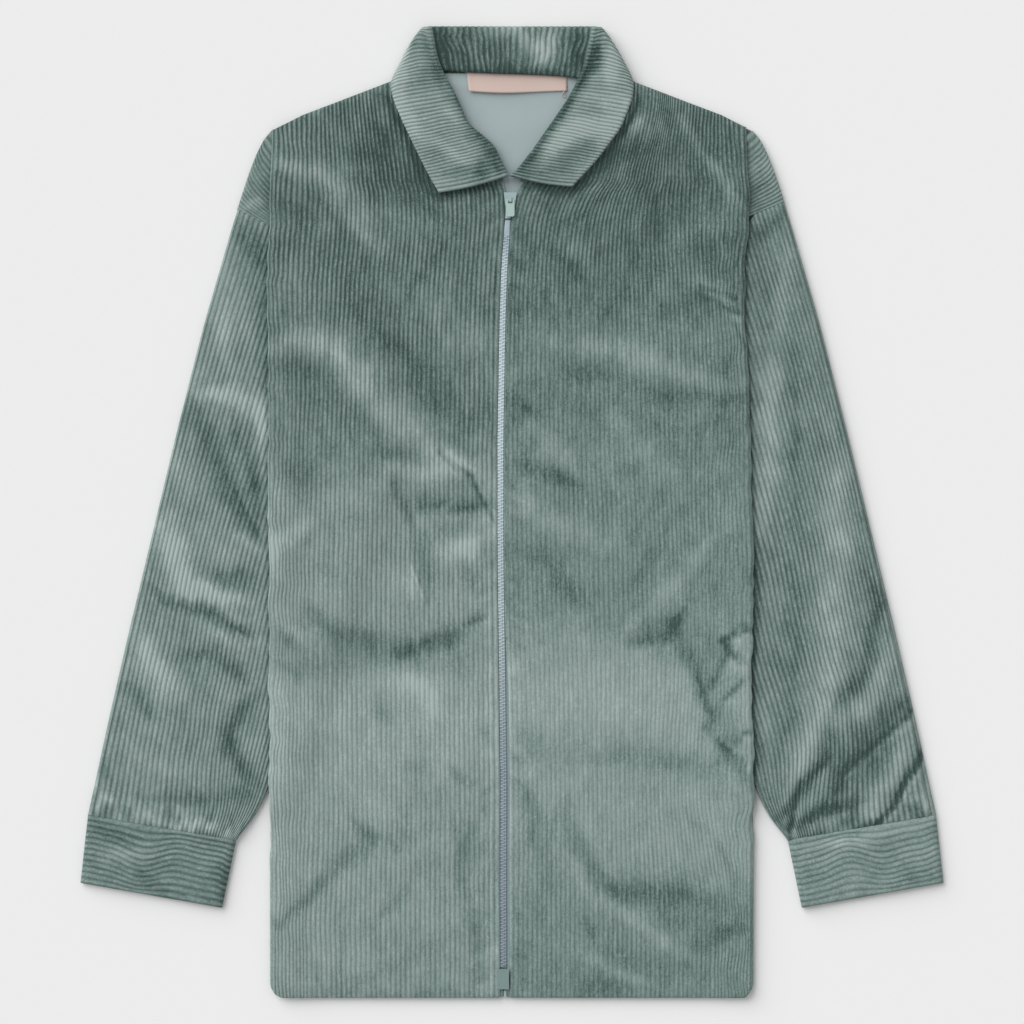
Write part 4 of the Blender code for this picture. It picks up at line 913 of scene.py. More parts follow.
def stroke(x, y, points, spread):
    """1 on a stroke's line, falling off softly to both sides and fading at its ends."""
    steps = [math.dist(low[:2], high[:2]) for low, high in zip(points, points[1:])]
    best = np.zeros(np.shape(x))
    done = 0.0
    for (x0, y0, half0), (x1, y1, half1), step in zip(points, points[1:], steps):
        dx = (x1 - x0) / step
        dy = (y1 - y0) / step
        place = np.clip(((x - x0) * dx + (y - y0) * dy) / step, 0.0, 1.0)
        away = np.hypot(x - mix(x0, x1, place), y - mix(y0, y1, place)) / mix(half0, half1, place)
        run = (done + place * step) / sum(steps)
        fade = mix(0.55, 1.0, smooth(np.minimum(run, 1.0 - run) / 0.2))
        best = np.maximum(best, fade * smooth(1.0 - away / spread))
        done += step
    return best


def drawn(piece, x, y, spread):
    total = np.zeros(np.shape(x))
    for amount, *points in STROKES.get(piece, ()):
        total += amount * stroke(x, y, points, spread)
    return total


def painted_fold_light(piece, x, y, wale):
    """Painted light and shade of folds, from strokes at signed millimetres; each wale shifts them
    a little along itself.
    """
    shift = 6.0 * (cloud(wale * 1.7, y / 30.0 + 7.5, 3) - 0.5)
    u = x / UNIT + 5.0 * (cloud(x / 20.0, y / 20.0, 5) - 0.5)
    u = u + 3.0 * (cloud(x / 7.0, y / 9.0, 8) - 0.5)
    v = y / UNIT + shift + 7.0 * (cloud(x / 18.0, y / 18.0, 6) - 0.5)
    patchy = 0.66 + 0.5 * cloud(x / 11.0, y / 10.0, 9) + 0.2 * cloud(wale * 0.8, y / 11.0, 10)
    return patchy * drawn(piece, u, v, 1.8)


def nap_and_painted_light(piece, x, y, wale):
    """Painted sheen of the pile, painted shade and light of folds and creases, and random tone."""
    side = "left" if piece.endswith("left") else "right"
    if piece.startswith("front"):
        base = NAP_AND_SHADE_BASE.read(side, y / UNIT, 16.0)
    else:
        base = PIECE_BASE.get(piece, 0.45)
    slant = 0.5 if side == "left" else -0.4
    loose = cloud((x + slant * y) / 30.0 + 9.0, y / 17.0, 11) - 0.5
    middle = cloud((x + 1.2 * slant * y) / 11.0 + 5.0, y / 12.0, 14) - 0.5
    fine = cloud(wale * 0.9, y / 13.0, 12) - 0.5
    calm = np.clip(1.35 - base, 0.55, 1.1)
    value = base + painted_fold_light(piece, x, y, wale)
    value = value + calm * (0.11 * loose + 0.13 * middle + 0.12 * fine)
    if piece.startswith("front"):
        away = np.abs(x - ZIP_LINE.read("x", y))
        # Painted light and shade of puckered ripples beside the zip.
        patch = smooth((cloud(x / 40.0 + 2.0, y / 26.0, 44) - 0.3) / 0.4)
        ripple_seed = 43 if side == "left" else 45
        ripple = cloud(away / 13.0 + 4.0, (y + 0.5 * away) / 6.5, ripple_seed) - 0.5
        value = value + 0.3 * ripple * patch * smooth((34.0 - away) / 16.0)
        # Painted highlight and shade along the fronts' rolled edges beside the zip.
        for at, amount in EDGE_LIGHT_AND_SHADE[side]:
            value = value + amount * smooth(1.0 - np.abs(away - at) / 1.1)
    rows = CREASES.get(piece, ())
    # Painted shade along each crease, then a painted highlight on its flank below and to the
    # right.
    value = value + 0.45 * creased(rows, x / UNIT, y / UNIT, 1.5)
    value = value - 0.2 * creased(rows, x / UNIT - 4.0, y / UNIT + 4.0, 1.6)
    if piece.startswith("sleeve"):
        # Painted shadow on the sleeve along the front's side fold.
        beside = np.abs(x) - SIDE_FOLD.read(side, y, 18.0)
        value = value - 0.25 * smooth(1.0 - beside / 5.0) * smooth((y + 235.0) / 10.0)
    return np.clip(value, 0.0, 1.0)


# How strongly painted shade darkens a piece's grooves, in patches.
def groove_shade_depth(piece, x, y, wale):
    side = "left" if piece.endswith("left") else "right"
    if piece.startswith("front"):
        base = GROOVE_DEPTH_AND_SHADE.read(side, y / UNIT, 20.0)
    else:
        base = PIECE_GROOVE_SHADE.get(piece, 1.0)
    patch = cloud(x / 24.0 + 3.0, y / 18.0 + 5.0, 17) + 0.6 * cloud(wale * 0.8, y / 12.0, 18)
    return base * (0.45 + 0.7 * patch)


def wale_depth(side, y):
    """Depth of a front's grooves: less where the cloth is pulled flat."""
    return WALE_HEIGHT * np.clip(0.3 + 0.6 * GROOVE_DEPTH_AND_SHADE.read(side, y / UNIT, 20.0), 0.5, 1.0)


def relief(piece, x, y):
    """Millimetres that the soft folds and creases lift a piece by."""
    u = x / UNIT + 3.0 * (cloud(x / 30.0, y / 30.0, 5) - 0.5)
    v = y / UNIT + 3.0 * (cloud(x / 26.0, y / 26.0, 6) - 0.5)
    broad = RELIEF * drawn(piece, u, v, 2.1)
    sharp = creased(CREASES.get(piece, ()), x / UNIT, y / UNIT, 2.2)
    sway = 0.5 * (cloud(x / 60.0, y / 75.0, 21) - 0.5)
    return broad + sharp + sway


# ---------------------------------------------------------------- meshes


class Grid:
    """Rows by columns of points with the cloth's own coordinates at each."""

    def __init__(self, x, y, z, cord, along, tone, groove_shade, plain, across, rows, closed=False):
        shape = np.shape(x)
        self.points = np.stack([x, y, z], axis=-1).reshape(-1, 3)
        self.height, self.width = shape
        self.facts = {
            "cord": np.broadcast_to(cord, shape).ravel(),
            "along": np.broadcast_to(along, shape).ravel(),
            "tone": np.broadcast_to(tone, shape).ravel(),
            "groove_shade": np.broadcast_to(groove_shade, shape).ravel(),
            "plain": np.broadcast_to(plain, shape).ravel(),
        }
        self.across = list(across)
        self.rows = list(rows)
        self.closed = closed
        self.start = 0

    def faces(self):
        last = self.width if self.closed else self.width - 1
        row = np.arange(self.height - 1)[:, None] * self.width
        here = np.arange(last)[None, :]
        after = (here + 1) % self.width
        quads = np.stack(
            [row + here, row + after, row + self.width + after, row + self.width + here],
            axis=-1,
        )
        return quads.reshape(-1, 4) + self.start

    def end(self, row):
        row = row % self.height
        ends = list(range(self.width)) + ([0] if self.closed else [])
        return [self.start + row * self.width + column for column in ends]

    def side(self, column):
        column = column % self.width
        return [self.start + row * self.width + column for row in range(self.height)]


def stitch(first, first_keys, second, second_keys):
    """Triangles between two runs of points, walked together by their keys."""
    faces = []
    i = 0
    j = 0
    while i < len(first) - 1 or j < len(second) - 1:
        second_done = j == len(second) - 1
        if second_done or (i < len(first) - 1 and first_keys[i + 1] <= second_keys[j + 1]):
            faces.append((first[i], first[i + 1], second[j]))
            i += 1
        else:
            faces.append((first[i], second[j + 1], second[j]))
            j += 1
    return faces


def new_object(name, points, faces, facts=None, material=None):
    """A mesh object from points in millimetres, its faces turned outwards."""
    mesh = bpy.data.meshes.new(name)
    mesh.from_pydata((np.asarray(points) * MM).tolist(), [], faces)
    mesh.update()
    for key, values in (facts or {}).items():
        layer = mesh.attributes.new(key, "FLOAT", "POINT")
        layer.data.foreach_set("value", np.asarray(values, np.float32))
    mesh.validate()
    turned_in = volume(mesh) < 0.0
    if turned_in:
        mesh.flip_normals()
    mesh.shade_smooth()
    if material:
        mesh.materials.append(material)
    made = bpy.data.objects.new(name, mesh)
    bpy.context.scene.collection.objects.link(made)
    return made


def volume(mesh):
    mesh.calc_loop_triangles()
    corners = np.zeros(len(mesh.loop_triangles) * 3, np.int32)
    mesh.loop_triangles.foreach_get("vertices", corners)
    points = np.zeros(len(mesh.vertices) * 3, np.float32)
    mesh.vertices.foreach_get("co", points)
    a, b, c = points.reshape(-1, 3)[corners.reshape(-1, 3)].transpose(1, 0, 2).astype(float)
    return float(np.einsum("ij,ij->i", a, np.cross(b, c)).sum()) / 6.0


def wall(name, outer, inner, material):
    """A closed cloth wall between a fine outer grid and a plainer inner one."""
    inner.start = len(outer.points)
    faces = outer.faces().tolist() + inner.faces()[:, ::-1].tolist()
    rims = []
    for row in (0, -1):
        rim = stitch(outer.end(row), outer.across, inner.end(row), inner.across)
        rims += [face[::-1] for face in rim] if row == 0 else rim
    if not outer.closed:
        for column in (0, -1):
            rim = stitch(outer.side(column), outer.rows, inner.side(column), inner.rows)
            rims += rim if column == 0 else [face[::-1] for face in rim]
    points = np.concatenate([outer.points, inner.points])
    facts = {
        key: np.concatenate([outer.facts[key], inner.facts[key]]) for key in outer.facts
    }
    made = new_object(name, points, faces + [list(face) for face in rims], facts, material)
    return made


def wale_places(count):
    """Places across `count` wales, counted in wales, and the height of the pile there."""
    places = [number + step for number in range(count) for step in WALE_STEPS] + [count]
    rises = list(WALE_RISE) * count + [WALE_RISE[0]]
    return np.array(places, float), np.array(rises, float)


def dress(made, node):
    """Attaches a cloth piece to the jacket and hides the solid that it stands for."""
    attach(made, "jacket")
    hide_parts(node)
    return made


# ---------------------------------------------------------------- fronts


def fold_centre(y, side):
    loop = SIDE_TURN.read("loop", y, 12.0)
    return SIDE_FOLD.read(side, y, 18.0) - WALL - loop / 2.0


def hem_y(x, fold_x):
    inward = np.clip((fold_x - np.abs(x)) / HEM_CORNER, 0.0, 1.0)
    return HEM_Y + HEM_CORNER * (1.0 - rounded(inward))


def wobble(y, side):
    """The side fold's own small waves."""
    seed = 35 if side == "left" else 36
    wave = cloud(y / 8.0, y * 0.0, seed) - 0.5 + 0.8 * (cloud(y / 19.0, y * 0.0, seed + 2) - 0.5)
    return 1.7 * wave * smooth((y + 330.0) / 60.0) * smooth((300.0 - y) / 50.0)


def sway(share, y, side):
    """How far a wale line of a front strays sideways, most of all beside the side fold."""
    seed = 31 if side == "left" else 32
    total = 1.8 * (cloud(share * 3.0, y / 90.0, seed) - 0.5)
    near = smooth((share - 0.72) / 0.25)
    total += 3.4 * near * (cloud(share * 5.0, y / 30.0, seed + 4) - 0.5)
    total += (0.5 + 1.3 * near) * (cloud(share * 11.0, y / 12.0, seed + 8) - 0.5)
    beside = smooth(1.0 - share / 0.12)
    total += 1.4 * beside * (cloud(share * 8.0, y / 16.0, seed + 12) - 0.5)
    held = smooth(share / 0.05) * smooth((1.0 - share) / 0.04)
    total = held * total
    table = DRIFT[side]
    steps = [0.0] + [float(name) for name in DRIFT_SHARES] + [1.0]
    before = np.zeros(np.shape(y))
    for low, high, name in zip(steps, steps[1:], list(DRIFT_SHARES) + [None]):
        after = table.read(name, y, 12.0) if name else np.zeros(np.shape(y))
        inside = (share >= low) & (share < high) if high < 1.0 else (share >= low)
        here = np.clip((share - low) / (high - low), 0.0, 1.0)
        total = total + np.where(inside, mix(before, after, here), 0.0)
        before = after
    return total + wobble(y, side) * smooth((share - 0.86) / 0.14)


def front_x(share, y, side):
    start = ZIP_LINE.read("gap", y, 4.0) + SIDES[side] * ZIP_LINE.read("x", y, 14.0)
    if side == "right":
        start = start + 2.3 * smooth((-80.0 - y) / 90.0)
    return mix(start, fold_centre(y, side), share)


def front_height(x, y, side):
    """Underside of a front; x is the distance from the middle."""
    over_zip = FRONT_Z + FRONT_LOFT * smooth((x - FRONT_LEVEL_X) / SLEEVE_SPREAD)
    over_sleeve = smooth((x - SLEEVE_REACH.read("x", y, 16.0)) / SLEEVE_SPREAD + 1.0)
    lift = relief("front_" + side, SIDES[side] * x, y)
    lift = np.maximum(lift, mix(-1.3, -0.35, over_sleeve)) * smooth((x - 12.0) / 18.0)
    middle = over_zip + SLEEVE_LIFT * over_sleeve + lift
    zip_x = x - SIDES[side] * ZIP_LINE.read("x", y)
    ripple = cloud(zip_x / 15.0, y / 7.0, 41 if side == "left" else 42) - 0.5
    middle += 0.9 * ripple * smooth(1.0 - zip_x / 34.0)
    rest = SIDE_TURN.read("rest", y, 10.0) + WALL + SIDE_TURN.read("loop", y, 10.0)
    inward = fold_centre(y, side) - x
    height = mix(middle, rest + np.maximum(lift, 0.0), smooth(1.0 - inward / SIDE_SPREAD))
    edge = mix(FRONT_EDGE_Z, rest, smooth((x - ROUND_FROM_X) / ROUND_OVER))
    below = TOP_EDGE.read("y", x) - y
    shoulder = mix(edge, height, rounded(below / SHOULDER_ROUND))
    return np.where(x > NECK_POINT_X, shoulder, height)


def front_top(share, side):
    """Where each wale line meets the neckline or the shoulder."""
    ys = np.linspace(276.0, 374.0, 393)[:, None]
    x = front_x(share[None, :], ys, side) + sway(share[None, :], ys, side)
    above = ys - TOP_EDGE.read("y", x, 1.5)
    row = np.argmax(above > 0.0, axis=0)
    row = np.maximum(row, 1)
    column = np.arange(len(share))
    low = above[row - 1, column]
    high = above[row, column]
    return ys[row - 1, 0] + (ys[1, 0] - ys[0, 0]) * np.clip(-low / (high - low), 0.0, 1.0)


def front_grid(side, places, rises, rows, turn_steps, outside):
    """A front: its panel, the loop of its side fold and the part turned under."""
    sign = SIDES[side]
    share = places / FRONT_WALES[side]
    top = front_top(share, side)
    fold = SIDE_FOLD.read(side, HEM_Y)
    hem = hem_y(front_x(share, HEM_Y, side), fold)
    y = mix(hem[None, :], top[None, :], rows[:, None])
    x = front_x(share[None, :], y, side) + sway(share[None, :], y, side)
    z = front_height(x, y, side)
    if outside:
        z += WALL + WALE_HEIGHT - wale_depth(side, y) * (1.0 - rises[None, :])
        z -= 0.9 * (1.0 - rounded((y - hem[None, :]) / 3.0))
        first = x - front_x(np.zeros_like(y), y, side)
        z -= 1.0 * (1.0 - rounded(first / 2.2))
    cord = np.broadcast_to(places[None, :], x.shape)
    xs = [x]
    ys = [y]
    zs = [z]
    cords = [cord]
    centre_y = mix(hem[-1], top[-1], rows)
    for step in range(1, turn_steps + 2):
        angle = math.pi / 2.0 - math.pi * min(step / turn_steps, 1.0)
        radius = SIDE_TURN.read("loop", centre_y, 10.0) / 2.0
        centre = fold_centre(centre_y, side) + wobble(centre_y, side)
        reach = radius + (WALL if outside else 0.0)
        under = SIDE_TURN.read("under", centre_y) if step > turn_steps else 0.0
        turned_x = centre + reach * math.cos(angle) - under
        low = hem_y(turned_x[:1], fold)
        turned_y = mix(low, top[-1], rows)
        base = front_height(centre, centre_y, side) - radius
        xs.append(turned_x[:, None])
        ys.append(turned_y[:, None])
        zs.append((base + reach * math.sin(angle))[:, None])
        around = FRONT_WALES[side] + step * math.pi * reach.mean() / turn_steps / 4.0
        cords.append(np.full((len(rows), 1), around))
    x = np.concatenate(xs, axis=1)
    y = np.concatenate(ys, axis=1)
    z = np.concatenate(zs, axis=1)
    cord = np.concatenate(cords, axis=1)
    tone = nap_and_painted_light("front_" + side, sign * x, y, cord)
    groove_shade = groove_shade_depth("front_" + side, sign * x, y, cord)
    groove_shade = groove_shade * smooth(np.where(cord < 1.0, cord, 1.0) / 0.5)
    plain = np.zeros(x.shape)
    plain[:, len(places):] = 1.0
    if not outside:
        plain[:] = 1.0
    keys = list(share) + [1.0 + step for step in range(1, turn_steps + 2)]
    return Grid(sign * x, y, z, cord, y, tone, groove_shade, plain, keys, rows)


def edge_rows(count, ends):
    """0 to 1 with extra rows close to both ends."""
    low = np.array(ends)
    middle = np.linspace(ends[-1], 1.0 - ends[-1], count)[1:-1]
    return np.concatenate([low, middle, 1.0 - low[::-1]])


def make_front(side, material):
    places, rises = wale_places(FRONT_WALES[side])
    outer = front_grid(
        side, places, rises, edge_rows(186, (0.0, 0.0008, 0.002, 0.0045, 0.008, 0.0125)), 8, True
    )
    coarse = np.linspace(0.0, FRONT_WALES[side], 26)
    inner = front_grid(side, coarse, coarse * 0.0, np.linspace(0.0, 1.0, 90), 8, False)
    made = wall("cloth_front_" + side, outer, inner, material)
    return dress(made, "front_" + side)


def make_back(material):
    """The back panel, flat where it lies; the cord's grooves show on its underside."""
    ys = np.array([-407.6, -406.9, -405.0, -401.0, -393.6, -335.0, -262.0, -228.0, -130.0])
    ys = np.concatenate([ys, [-35.0, 60.0, 150.0, 200.0, 236.0, 253.0]])
    half_right = []
    half_left = []
    for y in ys:
        for side, halves in (("left", half_left), ("right", half_right)):
            fold = float(SIDE_FOLD.read(side, y)) - BACK_INSET
            down = min(max((y - BACK_HEM_Y) / HEM_CORNER, 0.0), 1.0)
            half = fold - HEM_CORNER * (1.0 - float(rounded(down)))
            if y > BACK_FLARE_Y:
                half = mix(*BACK_FLARE_X, (y - BACK_FLARE_Y) / BACK_FLARE_OVER)
            halves.append(half)
    upper = [(270.4, 225.9), (288.4, 219.8), (301.8, 214.4), (312.5, 209.0), (320.5, 201.6)]
    upper += [(326.8, 189.0), (333.5, 175.6), (342.7, 150.4), (361.2, 102.5), (371.6, 75.2)]
    ys = np.concatenate([ys, [row[0] for row in upper]])
    half_left = np.array(half_left + [row[1] for row in upper])
    half_right = np.array(half_right + [row[1] for row in upper])
    count = BACK_WALES
    places = np.array([number + step for number in range(count) for step in (0.0, 0.2, 0.8)])
    places = np.append(places, count)
    dip = np.array([1.0, 0.0, 0.0] * count + [1.0])
    share = places / count
    x = mix(-half_left[:, None], half_right[:, None], share[None, :])
    y = np.broadcast_to(ys[:, None], x.shape)
    z = BACK_GROOVE * dip[None, :] + np.zeros(x.shape)
    neck = np.where(np.abs(x) < BACK_NECK_X, np.minimum(y, BACK_NECK_Y), y)
    tone = nap_and_painted_light("back", x, y, np.broadcast_to(places[None, :], x.shape))
    under = Grid(x, neck, z, places[None, :], y, tone, 1.0, 0.0, share, ys)
    coarse = np.linspace(0.0, 1.0, 26)
    x = mix(-half_left[:, None], half_right[:, None], coarse[None, :])
    y = np.broadcast_to(ys[:, None], x.shape)
    neck = np.where(np.abs(x) < BACK_NECK_X, np.minimum(y, BACK_NECK_Y), y)
    level = np.full(x.shape, BACK_TOP)
    over = Grid(x, neck, level, coarse[None, :] * count, y, 0.4, 1.0, 1.0, coarse, ys)
    made = wall("cloth_back", under, over, material)
    return dress(made, "back")


# ---------------------------------------------------------------- drop shoulders


def shoulder_grid(side, places, rises, across, outside):
    sign = SIDES[side]
    along = (places / SHOULDER_WALES)[:, None]
    u = across[None, :]
    edge = SHOULDER_EDGE[side]
    lean = {"left": 1.75, "right": 1.1}[side]
    inner_along = 1.0 - (1.0 - along) ** lean
    bend = 0.03 * np.sin(u * math.pi) * np.sin(along * math.pi)
    bow = u ** (1.0 + 0.8 * smooth(along / 0.15) * (1.0 - along**3))
    x = mix(edge.read("outer_x", along, 0.04), edge.read("inner_x", inner_along - bend, 0.04), bow)
    y = mix(edge.read("outer_y", along, 0.04), edge.read("inner_y", inner_along - bend, 0.04), u)
    full = mix(FRONT_EDGE_Z + 0.1, SHOULDER_Z, smooth(along / 0.4))
    z = mix(FRONT_EDGE_Z, full, rounded(u * 32.0 / EDGE_ROUND))
    if outside:
        z = z + WALL + WALE_HEIGHT * rises[:, None] * smooth((0.75 - u) / 0.12)
        z = z - 0.9 * (1.0 - rounded((1.0 - along) * 85.0 / 2.5))
    cord = np.broadcast_to(places[:, None], x.shape)
    tone = nap_and_painted_light("shoulder_" + side, sign * x, y, cord)
    groove_shade = groove_shade_depth("shoulder_" + side, sign * x, y, cord)
    plain = 0.0 if outside else 1.0
    return Grid(sign * x, y, z, cord, x, tone, groove_shade, plain, across, along[:, 0])


def make_shoulder(side, material):
    places, rises = wale_places(SHOULDER_WALES)
    across = np.concatenate([[0.0, 0.02, 0.05, 0.09, 0.14], np.linspace(0.2, 1.0, 18)])
    outer = shoulder_grid(side, places, rises, across, True)
    coarse = np.linspace(0.0, SHOULDER_WALES, 18)
    inner = shoulder_grid(side, coarse, coarse * 0.0, across[::2], False)
    made = wall("cloth_shoulder_" + side, outer, inner, material)
    return dress(made, "shoulder_" + side)


# ---------------------------------------------------------------- sleeves and cuffs


def sleeve_plan(side, across, along):
    row = {name: SLEEVE_EDGE.read(name, along, 0.03) for name in SLEEVE_EDGE.columns}
    x = mix(row["outer_x"], row["inner_x"], across)
    y = mix(row["outer_y"], row["inner_y"], across)
    start = {name: SLEEVE_EDGE.columns[name][0] for name in SLEEVE_EDGE.columns}
    fade = (1.0 - along) ** 3
    hole = ARMHOLE[side]
    x = x + fade * (hole.read("x", across) - mix(start["outer_x"], start["inner_x"], across))
    y = y + fade * (hole.read("y", across) - mix(start["outer_y"], start["inner_y"], across))
    beyond = smooth((along - 0.985) / 0.015) * CUFF_TUCK
    ahead = smooth(1.0 - along / 0.02) * SHOULDER_TUCK * smooth(1.0 - across / 0.3)
    return x + 0.11 * beyond - 0.3 * ahead, y - 0.994 * beyond + 0.954 * ahead


def sleeve_low(x):
    share = (SLEEVE_RISE_X - x) / (SLEEVE_RISE_X - SLEEVE_BACK_X)
    return LINING_Z * smooth(share)


def sleeve_high(side, x, y, across, along):
    open_part = smooth((x - SLEEVE_LOFT_X) / SLEEVE_LOFT_OVER) * rounded(2.0 * across)
    open_part = open_part * rounded(2.0 * along) * rounded(4.0 * (1.0 - along))
    lift = np.maximum(relief("sleeve_" + side, SIDES[side] * x, y), -1.8)
    gather = cloud(across * 34.0, along * 6.0, 51) - 0.5
    gather = gather + 0.6 * (cloud(across * 60.0, along * 14.0, 52) - 0.5)
    gather = 1.5 * gather * smooth((along - 0.9) / 0.08) * smooth((1.0 - along) / 0.012)
    shown = smooth((x - SLEEVE_BACK_X) / 10.0)
    return SLEEVE_TOP + open_part * (SLEEVE_LOFT + lift) + gather * shown


def tube_grid(place, width, places, rises, count, low_steps, turn_steps, wall_in, rows, facts):
    """A flattened tube: over its top, round a fold, back below and round the other."""
    edge = SLEEVE_FOLD / width
    inset = wall_in / width
    columns = []
    cords = []
    plains = []
    for number, step in enumerate(places):
        share = step / count
        x, y, low, high = place(mix(edge, 1.0 - edge, share))
        columns.append((x, y, high - wall_in + rises[number]))
        cords.append(step)
        plains.append(0.0)
    for step in range(1, turn_steps + 1):
        angle = math.pi / 2.0 - math.pi * step / turn_steps
        columns.append(tube_fold(place, 1.0 - edge, edge - inset, wall_in, angle, 1.0))
        cords.append(count + 2.0 * step / turn_steps)
        plains.append(1.0)
    for step in range(1, low_steps):
        share = 1.0 - step / low_steps
        x, y, low, high = place(mix(edge, 1.0 - edge, share))
        columns.append((x, y, low + wall_in))
        cords.append(count + 2.0 + count * step / low_steps)
        plains.append(1.0)
    for step in range(turn_steps):
        angle = -math.pi / 2.0 + math.pi * step / turn_steps
        columns.append(tube_fold(place, edge, edge - inset, wall_in, angle, -1.0))
        cords.append(2.0 * count + 2.0 + 2.0 * step / turn_steps)
        plains.append(1.0)
    x, y, z = (np.stack([column[axis] for column in columns], axis=1) for axis in range(3))
    cord = np.broadcast_to(np.array(cords)[None, :], x.shape)
    plain = np.broadcast_to(np.array(plains)[None, :], x.shape)
    keys = np.linspace(0.0, 1.0, len(places)).tolist()
    rest = x.shape[1] - len(places)
    keys += [1.0 + step / (rest + 1) for step in range(1, rest + 2)]
    return facts(x, y, z, cord, plain, keys, rows)


def tube_fold(place, centre, reach, wall_in, angle, way):
    low, high = place(centre)[2:]
    x, y = place(centre + way * reach * math.cos(angle))[:2]
    middle = (low + high) / 2.0
    return (x, y, middle + (high - low - 2.0 * wall_in) / 2.0 * math.sin(angle))


def make_sleeve(side, material):
    sign = SIDES[side]
    name = "sleeve_" + side

    def grid(places, rises, rows, low_steps, turn_steps, wall_in):
        def place(share):
            stray = 0.006 * (cloud(np.array(share * 7.0) + rows * 0.0, rows * 9.0, 61) - 0.5)
            stray = stray * smooth(np.array(share) / 0.08) * smooth((1.0 - share) / 0.08)
            closer = {"left": 0.2, "right": 0.32}[side] * (1.0 - smooth((rows - 0.45) / 0.35))
            upright = UPRIGHT.read(side, rows, 0.05)
            wave = 0.012 * smooth((rows - 0.6) / 0.2) * smooth((1.0 - rows) / 0.06)
            wave = wave * (cloud(np.array(share * 5.0) + rows * 2.0, rows * 16.0, 62) - 0.5) * 2.0
            stray = stray - closer * share * (1.0 - share)
            stray = stray + wave * np.sin(math.pi * share) ** 2
            stray = stray + upright * np.sin(math.pi * share**1.15)
            x, y = sleeve_plan(side, share + stray, rows)
            return x, y, sleeve_low(x), sleeve_high(side, x, y, share + stray, rows)

        ends = [np.array(sleeve_plan(side, share, rows)) for share in (0.0, 1.0)]
        width = np.hypot(*(ends[0] - ends[1]))

        def facts(x, y, z, cord, plain, keys, rows):
            tone = nap_and_painted_light(name, sign * x, y, cord)
            # Painted light and shade of the crimps along the seam to the cuff.
            crimp_shading = cloud(cord * 0.55, rows[:, None] * 55.0, 55) - 0.5
            tone = tone + 0.55 * crimp_shading * smooth((rows[:, None] - 0.925) / 0.05)
            if wall_in == 0.0:
                z = z - 1.4 * (plain < 0.5) * (1.0 - rounded((1.0 - rows[:, None]) * 110.0))
                z = z - 1.3 * (plain < 0.5) * (1.0 - rounded(rows[:, None] * 90.0))
            groove_shade = groove_shade_depth(name, sign * x, y, cord)
            along = rows[:, None] * 520.0
            return Grid(sign * x, y, z, cord, along, tone, groove_shade, plain, keys, rows, closed=True)

        return tube_grid(
            place, width, places, rises, SLEEVE_WALES, low_steps, turn_steps, wall_in, rows, facts
        )

    places, rises = wale_places(SLEEVE_WALES)
    rows = edge_rows(124, (0.0, 0.0015, 0.004, 0.009))
    outer = grid(places, rises * WALE_HEIGHT, rows, 24, 8, 0.0)
    coarse = np.linspace(0.0, SLEEVE_WALES, 25)
    inner = grid(coarse, coarse * 0.0, np.linspace(0.0, 1.0, 60), 12, 6, WALL)
    made = wall("cloth_" + name, outer, inner, material)
    return dress(made, name)


def make_cuff(side, material):
    sign = SIDES[side]
    name = "cuff_" + side
    length = abs(CUFF_BOTTOM[0][1] - CUFF_TOP[0][1])

    def grid(columns, places, rises, low_steps, turn_steps, wall_in):
        rows = places / CUFF_WALES
        down = mix(-0.2 / length, 1.0, rows)
        ends = [
            [mix(CUFF_TOP[end][axis], CUFF_BOTTOM[end][axis], down) for axis in (0, 1)]
            for end in (0, 1)
        ]
        width = np.hypot(ends[0][0] - ends[1][0], ends[0][1] - ends[1][1])
        swell = 4.0 * rows * (1.0 - rows)

        def place(share):
            wave = 0.085 * np.sin(share * 7.6 - 1.1 + (0.6 if side == "right" else 0.0))
            wave += 0.03 * np.sin(share * 17.0 + 0.7)
            moved = rows + swell * wave * smooth(share / 0.1) * smooth((1.0 - share) / 0.06)
            down_here = mix(-0.2 / length, 1.0, moved)
            corners = [
                [mix(CUFF_TOP[end][axis], CUFF_BOTTOM[end][axis], down_here) for axis in (0, 1)]
                for end in (0, 1)
            ]
            x = mix(corners[0][0], corners[1][0], share)
            y = mix(corners[0][1], corners[1][1], share)
            loft = CUFF_LOFT * rounded(2.0 * share) * rounded(2.0 * moved)
            lift = 0.5 * (cloud(x / 22.0, y / 22.0, 71) - 0.5)
            lift = lift + 0.6 * relief(name, sign * x, y)
            return x, y, np.zeros(x.shape), CUFF_TOP_Z + loft + lift

        def facts(x, y, z, cord, plain, keys, rows):
            if wall_in == 0.0:
                top = plain < 0.5
                z = z + rises[:, None] * top
                rim = rounded(rows * 60.0 / 2.0) * rounded((1.0 - rows) * 60.0 / 3.0)
                z = z - 0.8 * top * (1.0 - rim[:, None])
            wale = np.broadcast_to(places[:, None], x.shape)
            tone = nap_and_painted_light(name, sign * x, y, wale)
            groove_shade = groove_shade_depth(name, sign * x, y, wale)
            along = cord * 5.0
            return Grid(sign * x, y, z, wale, along, tone, groove_shade, plain, keys, rows, closed=True)

        steps = np.arange(columns + 1, dtype=float)
        return tube_grid(
            place, width, steps, steps * 0.0, columns, low_steps, turn_steps, wall_in, rows, facts
        )

    places, rises = wale_places(CUFF_WALES)
    outer = grid(56, places, rises * WALE_HEIGHT, 14, 8, 0.0)
    inner = grid(14, np.linspace(0.0, CUFF_WALES, 9), None, 7, 5, CUFF_WALL)
    made = wall("cloth_" + name, outer, inner, material)
    return dress(made, name)


# ---------------------------------------------------------------- collar


def neck_seam(inner, outward):
    """How far from a leaf's roll, along its wales, a front's neckline lies."""
    low = np.zeros(len(inner))
    high = np.full(len(inner), 30.0)
    for _ in range(24):
        middle = (low + high) / 2.0
        point = inner + outward * middle[:, None]
        beyond = point[:, 1] > TOP_EDGE.read("y", np.abs(point[:, 0]))
        beyond |= point[:, 0] < 10.0
        low = np.where(beyond, middle, low)
        high = np.where(beyond, high, middle)
    return low


